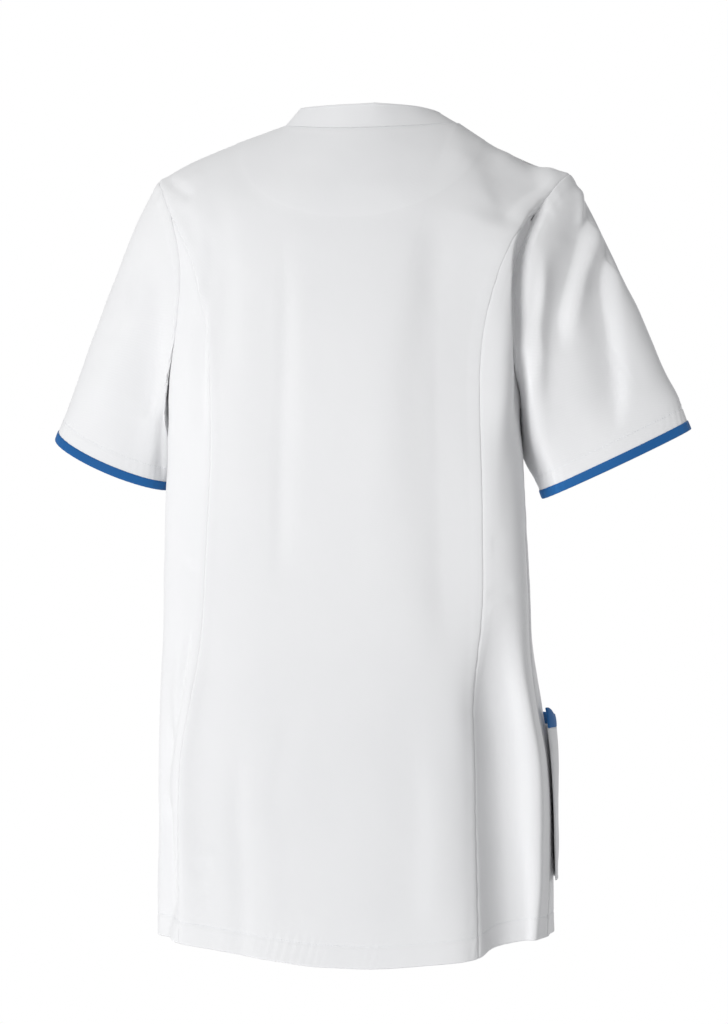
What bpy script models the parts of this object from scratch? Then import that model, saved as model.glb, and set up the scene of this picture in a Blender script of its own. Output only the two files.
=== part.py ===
"""Short-sleeved medical tunic in its worn form: hollow, filled out and hanging from the shoulders.

The frame: +Z is up and the back faces +Y, so the wearer's left is +X. The origin lies between the two points
where the shoulder seams meet the neckline, which is where the wearer's neck and shoulders carry the cloth.
All sizes are in metres and all angles in degrees.

Each cut piece is a grid of points on the garment's outer surface, closed with a wall of cloth on its inner
side. Panels of a garment are lofts between unlike sections, so their faces are laid between those points by
hand.
"""

import math
from collections import namedtuple

import bmesh
import bpy
from mathutils import Vector

# Cloth
CLOTH = 0.0015
HEM_CLOTH = 0.0024
SEAM_GAP = 0.0003
MITRE_LIMIT = 0.62
CREASE_COSINE = 0.2

# Lengths of the cut
HEM_Z = -0.751
HEM_DEPTH = 0.019
NECK_HALF = 0.081
NECK_BACK_DROP = 0.009
V_DEPTH = 0.190
SHOULDER_HALF = 0.190
SHOULDER_DROP = 0.048
ARMPIT_Z = -0.240
PRINCESS_TOP_Z = -0.088
PRINCESS_STEP = 0.006

# The shoulder line: its height at a distance from the middle, on the wearer's left and right shoulders
Shoulder = namedtuple("Shoulder", "x left right")
SHOULDERS = (
    Shoulder(0.081, 0.0000, 0.0000),
    Shoulder(0.095, -0.0050, -0.0088),
    Shoulder(0.112, -0.0110, -0.0185),
    Shoulder(0.140, -0.0222, -0.0318),
    Shoulder(0.165, -0.0335, -0.0415),
    Shoulder(0.190, -0.0480, -0.0480),
)
NECK_SLOPE = 0.45

# The garment's rings: how wide and how deep it is at each height. back and front are measured from mid, the
# depth where the ring is widest. sway moves the ring to the wearer's left and turn twists the seams round it.
Ring = namedtuple("Ring", "z half_width back front mid sway turn")
RINGS = (
    Ring(0.030, 0.2150, 0.056, 0.030, 0.000, 0.0000, 0.0),
    Ring(0.000, 0.2120, 0.068, 0.040, 0.000, 0.0000, 0.0),
    Ring(-0.050, 0.2030, 0.086, 0.060, 0.004, 0.0080, 0.0),
    Ring(-0.070, 0.1940, 0.093, 0.070, 0.007, 0.0090, 0.0),
    Ring(-0.090, 0.1840, 0.098, 0.080, 0.010, 0.0100, -1.0),
    Ring(-0.130, 0.1700, 0.103, 0.099, 0.016, 0.0130, -2.0),
    Ring(-0.180, 0.1625, 0.104, 0.125, 0.021, 0.0185, -3.0),
    Ring(-0.240, 0.1590, 0.100, 0.146, 0.024, 0.0235, -4.0),
    Ring(-0.310, 0.1625, 0.091, 0.148, 0.024, 0.0220, -3.5),
    Ring(-0.400, 0.1665, 0.082, 0.140, 0.022, 0.0212, -2.5),
    Ring(-0.470, 0.1695, 0.088, 0.137, 0.018, 0.0202, -1.0),
    Ring(-0.540, 0.1765, 0.100, 0.138, 0.014, 0.0170, 1.0),
    Ring(-0.600, 0.1803, 0.109, 0.140, 0.011, 0.0145, 2.5),
    Ring(-0.700, 0.1825, 0.121, 0.141, 0.009, 0.0130, 3.5),
    Ring(-0.751, 0.1825, 0.125, 0.142, 0.008, 0.0125, 4.0),
)
BACK_SQUARE = 2.5
FRONT_SQUARE = 2.2
CROWN_DEPTH = 0.100
NECK_ROUND = 0.030

# The armhole below the shoulder tip: the angle round the ring where the back and the front panels end.
Armhole = namedtuple("Armhole", "z back front")
ARMHOLE = (
    Armhole(-0.048, 66.6, 68.0),
    Armhole(-0.060, 63.0, 64.0),
    Armhole(-0.090, 62.0, 61.0),
    Armhole(-0.125, 62.5, 60.0),
    Armhole(-0.160, 64.0, 61.0),
    Armhole(-0.190, 67.5, 65.0),
    Armhole(-0.210, 71.5, 70.0),
    Armhole(-0.226, 77.5, 76.5),
    Armhole(-0.236, 84.0, 83.5),
    Armhole(-0.240, 90.0, 90.0),
)

# The princess seams of the back: their distance from the middle of the ring.
Princess = namedtuple("Princess", "z left right")
PRINCESS = (
    Princess(-0.088, 0.1660, 0.1655),
    Princess(-0.100, 0.1585, 0.1535),
    Princess(-0.115, 0.1495, 0.1415),
    Princess(-0.137, 0.1385, 0.1340),
    Princess(-0.160, 0.1300, 0.1305),
    Princess(-0.195, 0.1210, 0.1270),
    Princess(-0.235, 0.1150, 0.1262),
    Princess(-0.290, 0.1155, 0.1272),
    Princess(-0.390, 0.1217, 0.1288),
    Princess(-0.470, 0.1243, 0.1310),
    Princess(-0.524, 0.1300, 0.1330),
    Princess(-0.580, 0.1370, 0.1348),
    Princess(-0.660, 0.1386, 0.1350),
    Princess(-0.751, 0.1370, 0.1360),
)

# How far the hem is raised, by the angle from the middle of the back, on the wearer's left and right sides
HemRise = namedtuple("HemRise", "angle left right")
HEM_RISE = (
    HemRise(0.0, 0.0000, 0.0000),
    HemRise(10.0, 0.0040, -0.0010),
    HemRise(28.0, 0.0100, 0.0030),
    HemRise(48.0, 0.0130, 0.0070),
    HemRise(67.0, 0.0115, 0.0150),
    HemRise(90.0, 0.0075, 0.0130),
    HemRise(130.0, 0.0045, 0.0060),
    HemRise(180.0, 0.0000, 0.0000),
)

# Soft vertical folds of the body, by their angle from the middle of the back, plus to the wearer's left.
# The height is plus for a ridge, and ends is how much of it is left at the lower end.
Fold = namedtuple("Fold", "top_z top_angle low_z low_angle width height ends")
BODY_FOLDS = (
    Fold(-0.400, -54.0, -0.790, -60.0, 9.0, -0.0090, 1.0),
    Fold(-0.400, -32.0, -0.790, -36.0, 11.0, 0.0055, 1.0),
    Fold(-0.430, -70.0, -0.790, -73.0, 8.0, 0.0055, 1.0),
    Fold(-0.420, 52.0, -0.790, 42.0, 9.0, 0.0055, 1.0),
    Fold(-0.440, 66.0, -0.790, 62.0, 9.0, -0.0070, 1.0),
    Fold(-0.060, -22.0, -0.480, -16.0, 7.0, -0.0035, 0.0),
    Fold(-0.070, 17.0, -0.460, 15.0, 8.0, -0.0025, 0.0),
    Fold(-0.080, 34.0, -0.270, 36.0, 6.0, -0.0025, 0.0),
    Fold(-0.150, -58.0, -0.330, -60.0, 8.0, 0.0040, 0.0),
    Fold(-0.300, 160.0, -0.790, 155.0, 12.0, -0.0050, 1.0),
    Fold(-0.300, -158.0, -0.790, -152.0, 12.0, -0.0060, 1.0),
    Fold(-0.330, 178.0, -0.790, 182.0, 14.0, 0.0040, 1.0),
)

# Sleeves. Each is a tube from the armhole to a flattened cuff whose centre, half sizes and lean are its own.
Sleeve = namedtuple("Sleeve", "name side centre half_wide half_deep abduction forward cap")
SLEEVES = (
    Sleeve("left", 1, (0.2465, -0.020, -0.3085), 0.0595, 0.0545, 24.0, 9.0, 0.040),
    Sleeve("right", -1, (-0.2230, -0.018, -0.3105), 0.0742, 0.0340, 25.0, 6.0, 0.026),
)
SLEEVE_ROWS = 12
SLEEVE_HEM = 0.028
UNDER_PULL = 0.45
CUFF_PULL = 0.75

# Under the arm each sleeve hangs in towards the body and the front, by the share of the way down.
Sag = namedtuple("Sag", "down size")
SAG_SHAPE = (
    Sag(0.00, 0.000),
    Sag(0.12, 0.000),
    Sag(0.32, 0.450),
    Sag(0.52, 0.970),
    Sag(0.68, 0.700),
    Sag(0.85, 0.070),
    Sag(1.00, 0.000),
)
SAG_INWARD = {1: 0.006, -1: 0.013}
SAG_AHEAD = {1: 0.012, -1: 0.024}
SAG_SHARE = 0.54
SAG_WIDTH = 0.09
SAG_CLEAR = 0.0022

# Sleeve folds, placed by the share of the way round from the shoulder, down the back and up the front, and by
# the share of the way down the sleeve. drift is how far round the fold moves by its lower end.
SleeveFold = namedtuple("SleeveFold", "side share drift width height start end")
SLEEVE_FOLDS = (
    SleeveFold(-1, 0.315, 0.050, 0.040, 0.0055, 0.05, 1.05),
    SleeveFold(-1, 0.225, 0.040, 0.040, -0.0065, 0.02, 0.75),
    SleeveFold(-1, 0.150, 0.030, 0.035, 0.0045, 0.10, 1.00),
    SleeveFold(-1, 0.085, 0.030, 0.035, -0.0050, 0.08, 0.90),
    SleeveFold(-1, 0.700, -0.020, 0.045, -0.0050, 0.10, 0.90),
    SleeveFold(1, 0.300, 0.020, 0.050, -0.0040, 0.10, 1.00),
    SleeveFold(1, 0.180, 0.020, 0.050, 0.0030, 0.10, 0.90),
    SleeveFold(1, 0.720, -0.020, 0.050, -0.0045, 0.10, 0.90),
)

# The contrast binding that is folded over each sleeve's edge
BINDING_CLOTH = 0.0008
BINDING_HEIGHT = 0.0078

# The standing collar band, by the share of the way from the middle of the back to the point of the V. rise is
# the angle of the band above the level, square to the neckline. The wearer's right side leans further over.
Collar = namedtuple("Collar", "share height rise right_height right_rise")
COLLAR = (
    Collar(0.00, 0.0255, 66.0, 0.0255, 66.0),
    Collar(0.12, 0.0250, 62.0, 0.0245, 52.0),
    Collar(0.22, 0.0235, 56.0, 0.0225, 36.0),
    Collar(0.31, 0.0220, 50.0, 0.0220, 25.0),
    Collar(0.45, 0.0220, 42.0, 0.0220, 29.0),
    Collar(0.70, 0.0220, 42.0, 0.0215, 41.0),
    Collar(1.00, 0.0200, 44.0, 0.0200, 44.0),
)
COLLAR_ROWS = 3
COLLAR_FAN = 0.110

# The back neck facing, whose lower edge shows through the back as an arc
FACING_HALF = 0.110
FACING_X = 0.006
FACING_TOP_Z = -0.020
FACING_DROP = 0.0755
FACING_GAP = 0.0003
FACING_ROWS = 9
FACING_CUTS = 9

# Hip pockets, set into the side seams. Angles run round the ring from the middle of the back.
POCKET_SEAM_ANGLE = 90.6
POCKET_FRONT_ANGLE = 143.0
POCKET_LOW_Z = -0.700
POCKET_RIM_Z = -0.547
RIM_RISE = 0.009
RIM_RISE_SHARE = 0.16
BAND_HEIGHT = 0.011
BAND_EXTRA = 0.008
POCKET_BULGE = 0.0105
POCKET_REST = 0.0006

# The columns of a panel run evenly down to this height. Only those near its edge follow the armhole's curve.
EVEN_Z = -0.330
EDGE_POWER = 5

# How finely each piece is divided
SHOULDER_COLUMNS = 5
SHOULDER_CROWD = 1.35
BACK_NECK_COLUMNS = 10
V_COLUMNS = 5
TOP_ROWS = 4
ARMHOLE_ROWS = 9
LOWER_ROWS = 15
SIDE_COLUMNS = 6
POCKET_COLUMNS = 10
POCKET_ROWS = 7

# Colours: linear base colour, roughness
WHITE = ((0.84, 0.85, 0.87), 0.85)
BLUE = ((0.020, 0.150, 0.440), 0.70)


def mix(a, b, share):
    return a + (b - a) * share


def ease(share):
    """0 to 1 with a level start and end."""
    share = min(1.0, max(0.0, share))
    return share * share * (3 - 2 * share)


def along(rows, key, column, at):
    """A table's column as a smooth curve over its key, which rises or falls steadily from row to row."""
    keys = [getattr(row, key) for row in rows]
    values = [getattr(row, column) for row in rows]
    if keys[0] > keys[-1]:
        keys, values = keys[::-1], values[::-1]
    at = min(keys[-1], max(keys[0], at))
    last = len(keys) - 1
    i = next((n for n in range(last) if at <= keys[n + 1]), last - 1)

    def slope(n):
        low, high = max(0, n - 1), min(last, n + 1)
        return (values[high] - values[low]) / (keys[high] - keys[low])

    step = keys[i + 1] - keys[i]
    t = (at - keys[i]) / step
    return (
        values[i] * (1 + 2 * t) * (1 - t) ** 2
        + slope(i) * step * t * (1 - t) ** 2
        + values[i + 1] * t * t * (3 - 2 * t)
        - slope(i + 1) * step * t * t * (1 - t)
    )


def ridge(x):
    """Height of the shoulder line at a distance from the middle, carried on over the neck as a round top."""
    if abs(x) > NECK_HALF:
        return along(SHOULDERS, "x", "left" if x > 0 else "right", abs(x))
    if abs(x) > NECK_ROUND:
        return (NECK_HALF - abs(x)) * NECK_SLOPE
    return (NECK_HALF - (x * x / NECK_ROUND + NECK_ROUND) / 2) * NECK_SLOPE


def angle_at(x, z, square):
    """The angle round the ring of a point at that distance from the ring's middle."""
    share = min(1.0, x / along(RINGS, "z", "half_width", z))
    return math.degrees(math.asin(share ** (square / 2)))


def fold_height(folds_angle, z):
    total = 0.0
    for fold in BODY_FOLDS:
        share = (fold.top_z - z) / (fold.top_z - fold.low_z)
        if not 0 < share < 1:
            continue
        centre = mix(fold.top_angle, fold.low_angle, share)
        off = (folds_angle - centre + 180) % 360 - 180
        strength = ease(share * 2.2) * mix(ease((1 - share) * 2.2), 1.0, fold.ends)
        total += fold.height * strength * math.exp(-((off / fold.width) ** 2))
    return total


def bare_ring(angle, z):
    """A point of the ring before folds, from the middle of the back round by the wearer's left."""
    turned = math.radians(angle + along(RINGS, "z", "turn", z))
    s, c = math.sin(turned), math.cos(turned)
    square, face = (BACK_SQUARE, "back") if c >= 0 else (FRONT_SQUARE, "front")
    x = along(RINGS, "z", "half_width", z) * math.copysign(abs(s) ** (2 / square), s)
    y = along(RINGS, "z", face, z) * math.copysign(abs(c) ** (2 / square), c)
    below = min(1.0, max(0.0, (ridge(x) - z) / CROWN_DEPTH))
    y *= math.sqrt(1 - (1 - below) ** 2)
    return Vector((x + along(RINGS, "z", "sway", z), y + along(RINGS, "z", "mid", z), z))


def body_point(angle, z):
    """A point of the garment's outer surface, with its folds and with the hem raised towards the sides."""
    point = bare_ring(angle, z)
    run = bare_ring(angle + 1, z) - bare_ring(angle - 1, z)
    point += Vector((-run.y, run.x, 0)).normalized() * fold_height(angle, z)
    round_angle = (angle + 180) % 360 - 180
    rise = along(HEM_RISE, "angle", "left" if round_angle > 0 else "right", abs(round_angle))
    point.z += rise * ease(z / HEM_Z * 2 - 1)
    return point


def armhole_angle(face, z):
    square = BACK_SQUARE if face == "back" else FRONT_SQUARE
    tip = angle_at(SHOULDER_HALF, -SHOULDER_DROP, square)
    found = along(ARMHOLE, "z", face, z)
    near_tip = ease(1 - (-SHOULDER_DROP - z) / 0.02)
    return found + (tip - getattr(ARMHOLE[0], face)) * near_tip


def princess_angle(side, z):
    return angle_at(along(PRINCESS, "z", "left" if side > 0 else "right", z), z, BACK_SQUARE)


def spread(start, end, count, crowd=1.0):
    """count + 1 numbers from start to end, closer together near the start where crowd is over 1."""
    return [mix(start, end, (n / count) ** crowd) for n in range(count + 1)]


# Heights of the points along each seam. Pieces that meet there share them.
TIP_Z = -SHOULDER_DROP
TOP_LEVELS = spread(TIP_Z, PRINCESS_TOP_Z, TOP_ROWS, 1.8)
PRINCESS_LEVELS = spread(PRINCESS_TOP_Z, -0.256, ARMHOLE_ROWS)
PRINCESS_LOWER = spread(-0.256, HEM_Z + HEM_DEPTH, LOWER_ROWS - 1)
SIDE_LOWER = spread(ARMPIT_Z, HEM_Z + HEM_DEPTH, LOWER_ROWS - 1)
ARMHOLE_SHARES = (0.0, 0.16, 0.32, 0.48, 0.62, 0.75, 0.855, 0.93, 0.98, 1.0)
BACK_ARMHOLE_LEVELS = [
    mix(PRINCESS_TOP_Z - PRINCESS_STEP, ARMPIT_Z, share) for share in ARMHOLE_SHARES
]
FRONT_ARMHOLE_LEVELS = TOP_LEVELS[:-1] + [
    mix(PRINCESS_TOP_Z, ARMPIT_Z, share) for share in ARMHOLE_SHARES
]
CENTRE_EDGE = TOP_LEVELS + PRINCESS_LEVELS[1:] + PRINCESS_LOWER[1:] + [HEM_Z]
SIDE_PRINCESS_EDGE = PRINCESS_LEVELS + PRINCESS_LOWER[1:] + [HEM_Z]
SIDE_SEAM_EDGE = BACK_ARMHOLE_LEVELS + SIDE_LOWER[1:] + [HEM_Z]
FRONT_EDGE = FRONT_ARMHOLE_LEVELS + SIDE_LOWER[1:] + [HEM_Z]


def neck_z(x):
    """Height of the back neckline."""
    return -NECK_BACK_DROP * (1 - (x / NECK_HALF) ** 2)


def v_z(x):
    """Height of the front neckline: a V whose legs bow a little outward."""
    share = 1 - abs(x) / NECK_HALF
    return -V_DEPTH * (share + 0.22 * share * (1 - share))


def top_edge(face):
    """The upper edge of a panel in the order of its columns, as (angle from the face's middle, height)."""
    square = BACK_SQUARE if face == "back" else FRONT_SQUARE
    shoulder = spread(SHOULDER_HALF, NECK_HALF, SHOULDER_COLUMNS, SHOULDER_CROWD)
    if face == "back":
        neck = [NECK_HALF * math.sin(math.radians(a)) for a in spread(90, 0, BACK_NECK_COLUMNS // 2)]
    else:
        neck = spread(NECK_HALF, 0, V_COLUMNS)

    def half(side):
        found = [(side, x, ridge(side * x)) for x in shoulder]
        found += [(side, x, neck_z(x) if face == "back" else v_z(x)) for x in neck[1:]]
        return found

    first = -1 if face == "back" else 1
    places = half(first) + half(-first)[-2::-1]
    turn = 1 if face == "back" else -1
    return [(turn * side * angle_at(x, z, square), z) for side, x, z in places]


def panel_rows(top, edge_levels, edge_angle, middle):
    """Rows of a panel that hangs from its top edge: each column keeps its share of the way across."""
    widest = edge_angle(1, edge_levels[0])
    rows = []
    for level in edge_levels:
        down = (level - edge_levels[0]) / (HEM_Z - edge_levels[0])
        evened = ease((edge_levels[0] - level) / (edge_levels[0] - EVEN_Z))
        row = []
        for angle, top_z in top:
            share, side = abs(angle) / widest, math.copysign(1, angle)
            reach = edge_angle(side, level)
            even = mix(widest, edge_angle(side, EVEN_Z), evened) if level > EVEN_Z else reach
            turned = share * (even + (reach - even) * share ** EDGE_POWER)
            z = level if share > 1 - 1e-9 else mix(top_z, HEM_Z, down)
            row.append(body_point(middle + side * turned, z))
        rows.append(row)
    return rows


def back_centre_rows():
    def edge_angle(side, level):
        if level > PRINCESS_TOP_Z - 1e-9:
            return armhole_angle("back", level)
        return princess_angle(side, level)

    return panel_rows(top_edge("back"), CENTRE_EDGE, edge_angle, 0.0)


def back_side_rows(side):
    """Rows from the princess seam round to the armhole and side seam. Its first row runs down the armhole."""
    rows = []
    for n, (near_z, far_z) in enumerate(zip(SIDE_PRINCESS_EDGE, SIDE_SEAM_EDGE)):
        near = armhole_angle("back", near_z) if n == 0 else princess_angle(side, near_z)
        far = armhole_angle("back", far_z) if far_z > ARMPIT_Z else 90.0
        row = []
        for i in range(SIDE_COLUMNS + 1):
            share = i / SIDE_COLUMNS
            z = mix(near_z, far_z, share)
            angle = armhole_angle("back", z) if n == 0 else mix(near, far, share)
            row.append(body_point(side * angle, z))
        rows.append(row)
    return rows if side > 0 else [row[::-1] for row in rows]


def front_rows():
    """Rows across the front, running on round the ring from the wearer's left to the right."""

    def edge_angle(side, level):
        return armhole_angle("front", level) if level > ARMPIT_Z else 90.0

    return panel_rows(top_edge("front"), FRONT_EDGE, edge_angle, 180.0)


def armhole_ring(side, centre_rows, side_rows, front):
    """The armhole's points, from the shoulder tip down the back and up the front."""
    edge = -1 if side > 0 else 0
    ring = [row[edge] for row in centre_rows[: TOP_ROWS + 1]]
    ring[-1] = side_rows[0][0 if side > 0 else -1]
    ring += [row[edge] for row in side_rows[: ARMHOLE_ROWS + 1]]
    front_edge = 0 if side > 0 else -1
    armpit = TOP_ROWS + ARMHOLE_ROWS
    ring += [front[n][front_edge] for n in range(armpit - 1, 0, -1)]
    return ring


def sleeve_axis(sleeve):
    out, ahead = math.radians(sleeve.abduction), math.radians(sleeve.forward)
    return Vector(
        (sleeve.side * math.sin(out), -math.cos(out) * math.sin(ahead), -math.cos(out) * math.cos(ahead))
    ).normalized()


def cuff_ring(sleeve, shares):
    """Points of the flattened cuff, starting at its outer end and going round by the back."""
    axis = sleeve_axis(sleeve)
    lift = math.radians(sleeve.abduction)
    wide = Vector((sleeve.side * math.cos(lift), 0, math.sin(lift)))
    wide = (wide - axis * wide.dot(axis)).normalized()
    deep = axis.cross(wide) * sleeve.side
    if deep.y < 0:
        deep = -deep
    centre = Vector(sleeve.centre)
    points = []
    for share in shares:
        turn = 2 * math.pi * share
        sideways = wide * sleeve.half_wide * math.cos(turn)
        points.append(centre + sideways + deep * sleeve.half_deep * math.sin(turn))
    return points


def sleeve_rows(sleeve, ring):
    """Rows from the armhole to the cuff, each a closed ring of as many points as the armhole has."""
    lengths = [0.0]
    for here, after in zip(ring, ring[1:] + ring[:1]):
        lengths.append(lengths[-1] + (after - here).length)
    shares = [length / lengths[-1] for length in lengths[:-1]]
    cuff = cuff_ring(sleeve, shares)
    axis = sleeve_axis(sleeve)
    outward = Vector((sleeve.side, 0, 0))
    rows = []
    for n in range(SLEEVE_ROWS + 1):
        row, downs = [], []
        for start, end, share in zip(ring, cuff, shares):
            reach = (end - start).length
            hem = SLEEVE_HEM / reach / CUFF_PULL
            above = SLEEVE_ROWS - 2
            t = (n / above) ** 1.15 * (1 - hem) if n <= above else 1 - hem * (SLEEVE_ROWS - n) * 0.45
            downs.append(t)
            top = math.cos(math.pi * share) ** 2
            leave = outward * sleeve.cap * top + axis * reach * UNDER_PULL
            arrive = axis * reach * CUFF_PULL
            row.append(
                start * (1 + 2 * t) * (1 - t) ** 2
                + leave * t * (1 - t) ** 2
                + end * t * t * (3 - 2 * t)
                - arrive * t * t * (1 - t)
            )
        centre = sum(row, Vector()) / len(row)
        folded = []
        for point, share, t in zip(row, shares, downs):
            away = point - centre
            away = (away - axis * away.dot(axis)).normalized()
            raised = point + away * sleeve_fold_height(sleeve.side, share, t)
            folded.append(sagged(raised, sleeve.side, share, t))
        rows.append(folded)
    return rows


def sagged(point, side, share, t):
    """A point of the sleeve with the sag of the cloth under the arm, which rests against the body's side."""
    size = along(SAG_SHAPE, "down", "size", t) * math.exp(-(((share - SAG_SHARE) / SAG_WIDTH) ** 2))
    spot = point + Vector((-side * SAG_INWARD[side], -SAG_AHEAD[side], 0)) * size
    x = spot.x - along(RINGS, "z", "sway", spot.z)
    y = spot.y - along(RINGS, "z", "mid", spot.z)
    square = BACK_SQUARE if y >= 0 else FRONT_SQUARE
    wide = along(RINGS, "z", "half_width", spot.z)
    deep = along(RINGS, "z", "back" if y >= 0 else "front", spot.z)
    out = ((abs(x) / wide) ** square + (abs(y) / deep) ** square) ** (1 / square)
    clear = 1 + SAG_CLEAR / wide
    if spot.z < ARMPIT_Z and out < clear:
        spot = spot + Vector((x, y, 0)) * (clear / out - 1) * ease(t * 5)
    return spot


def sleeve_fold_height(side, share, t):
    total = 0.0
    for fold in SLEEVE_FOLDS:
        if fold.side != side or not fold.start < t < fold.end:
            continue
        run = (t - fold.start) / (fold.end - fold.start)
        off = (share - fold.share - fold.drift * run + 0.5) % 1 - 0.5
        total += fold.height * ease(run * 3) * ease((1 - run) * 3) * math.exp(-((off / fold.width) ** 2))
    return total


def collar_base(centre_rows, front):
    """The neckline from the V's point up the wearer's right, round the back and down the left."""
    first = SHOULDER_COLUMNS
    back = centre_rows[0][first : first + BACK_NECK_COLUMNS + 1]
    left_leg = front[0][first : first + V_COLUMNS + 1]
    right_leg = front[0][first + V_COLUMNS : first + 2 * V_COLUMNS + 1]
    return right_leg + back[1:] + left_leg[1:]


def collar_rows(base):
    """Rows of the collar from the neckline up. Near the V each line of points fans towards the mitre."""
    count = len(base)
    lengths = [0.0]
    for here, after in zip(base, base[1:]):
        lengths.append(lengths[-1] + (after - here).length)
    total = lengths[-1]

    def at(length):
        """Base point, direction of the band and band height at a length along the neckline."""
        length = min(total, max(0.0, length))
        i = next(n for n in range(count - 1) if length <= lengths[n + 1] + 1e-12)
        share = (length - lengths[i]) / (lengths[i + 1] - lengths[i])
        here = base[i].lerp(base[i + 1], share)
        low, high = max(0, i - 1), min(count - 1, i + 2)
        tangent = (base[i + 1] - base[i]).normalized()
        if low < i and share < 0.5:
            tangent = tangent.lerp((base[i] - base[low]).normalized(), 0.5 - share).normalized()
        if high > i + 1 and share > 0.5:
            tangent = tangent.lerp((base[high] - base[i + 1]).normalized(), share - 0.5).normalized()
        inward = Vector((tangent.y, -tangent.x, 0)).normalized()
        upward = inward.cross(tangent).normalized()
        round_share = abs(2 * length / total - 1)
        kind = "right_" if length < total / 2 else ""
        rise = math.radians(along(COLLAR, "share", kind + "rise", round_share))
        height = along(COLLAR, "share", kind + "height", round_share)
        return here + (inward * math.cos(rise) + upward * math.sin(rise)) * height

    point_x = base[0].x

    def mitre(end, way):
        """How far along a leg of the V the band has to start for its upper edge to reach the middle."""
        side = math.copysign(1, at(end + way * total / 4).x - point_x)
        return next(n * 0.001 for n in range(200) if (at(end + way * n * 0.001).x - point_x) * side >= 0)

    starts = mitre(0, 1), mitre(total, -1)
    tops = []
    for length in lengths:
        near_start = length < total / 2
        from_end = length if near_start else total - length
        slid = (starts[0] if near_start else -starts[1]) * (1 - ease(from_end / COLLAR_FAN))
        tops.append(at(length + slid))
    return [
        [low.lerp(high, n / COLLAR_ROWS) for low, high in zip(base, tops)]
        for n in range(COLLAR_ROWS + 1)
    ]


def facing_mesh(panel):
    """The facing inside the back: the panel's own points, a wall and a gap deeper, cut off along an arc."""
    rows = panel.rows[1:FACING_ROWS]
    normals = panel.normals[1:FACING_ROWS]
    skin = Piece("facing", rows, WHITE, flip=panel.flip)
    depth = CLOTH + FACING_GAP
    skin.rows = [
        [point - normal * depth for point, normal in zip(row, row_normals)]
        for row, row_normals in zip(rows, normals)
    ]
    skin.normals = normals
    points, faces = shell(skin)
    solid = bmesh.new()
    made = [solid.verts.new(point) for point in points]
    for face in faces:
        solid.faces.new([made[n] for n in face])
    for n in range(FACING_CUTS):
        turn = math.radians(mix(-90, 90, (n + 0.5) / FACING_CUTS))
        spot_z = FACING_TOP_Z - FACING_DROP * math.cos(turn)
        spot = Vector((FACING_X + FACING_HALF * math.sin(turn), 0, spot_z))
        away = Vector((math.sin(turn) * FACING_DROP, 0, -math.cos(turn) * FACING_HALF)).normalized()
        everything = solid.verts[:] + solid.edges[:] + solid.faces[:]
        cut = bmesh.ops.bisect_plane(
            solid, geom=everything, dist=1e-6, plane_co=spot, plane_no=away, clear_outer=True
        )
        open_edges = [edge for edge in cut["geom_cut"] if isinstance(edge, bmesh.types.BMEdge)]
        bmesh.ops.edgenet_fill(solid, edges=open_edges)
    return solid


def pocket_bulge(across, up):
    """How far the pocket stands off the front: most at its gaping mouth, nothing at its sewn edges."""
    bulge = POCKET_BULGE * math.sin(math.pi * across) ** 0.55
    return bulge * mix(0.25, 1.0, ease(up * 1.4 - 0.4)) * ease(up * 4)


def rim_z(across):
    return POCKET_RIM_Z + RIM_RISE * (1 - ease(across / RIM_RISE_SHARE))


def band_z(across):
    return rim_z(across) - BAND_HEIGHT - BAND_EXTRA * (1 - ease(across / RIM_RISE_SHARE))


def pocket_point(side, across, z, lift):
    """A point of the pocket: the front's own point under it, moved out."""
    angle = side * mix(POCKET_SEAM_ANGLE, POCKET_FRONT_ANGLE, across)
    up = (z - POCKET_LOW_Z) / (POCKET_RIM_Z - POCKET_LOW_Z)
    here = body_point(angle, z)
    run = body_point(angle + 0.5, z) - body_point(angle - 0.5, z)
    rise = body_point(angle, z + 0.002) - body_point(angle, z - 0.002)
    normal = run.cross(rise).normalized()
    away = here - Vector((along(RINGS, "z", "sway", z), along(RINGS, "z", "mid", z), z))
    if normal.dot(away) < 0:
        normal = -normal
    return here + normal * (POCKET_REST + pocket_bulge(across, up) + lift)


def pocket_grid(side, low, high, rows, lift):
    """Rows between two heights that change across the pocket. Columns run from the side seam to the front."""
    shares = spread(0, 1, POCKET_COLUMNS, 1.35)
    found = []
    for j in range(rows + 1):
        found.append([pocket_point(side, a, mix(low(a), high(a), j / rows), lift) for a in shares])
    return found if side > 0 else [row[::-1] for row in found]


def grid_normals(rows, ring):
    """The unit normal at each point of a grid, averaged from the faces round it."""
    height, width = len(rows), len(rows[0])
    sums = [[Vector() for _ in range(width)] for _ in range(height)]
    for j in range(height - 1):
        for i in range(width if ring else width - 1):
            k = (i + 1) % width
            corner = ((j, i), (j, k), (j + 1, k), (j + 1, i))
            a, b, c, d = (rows[m][n] for m, n in corner)
            normal = (c - a).cross(d - b)
            for m, n in corner:
                sums[m][n] += normal
    return [[normal.normalized() for normal in row] for row in sums]


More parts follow.
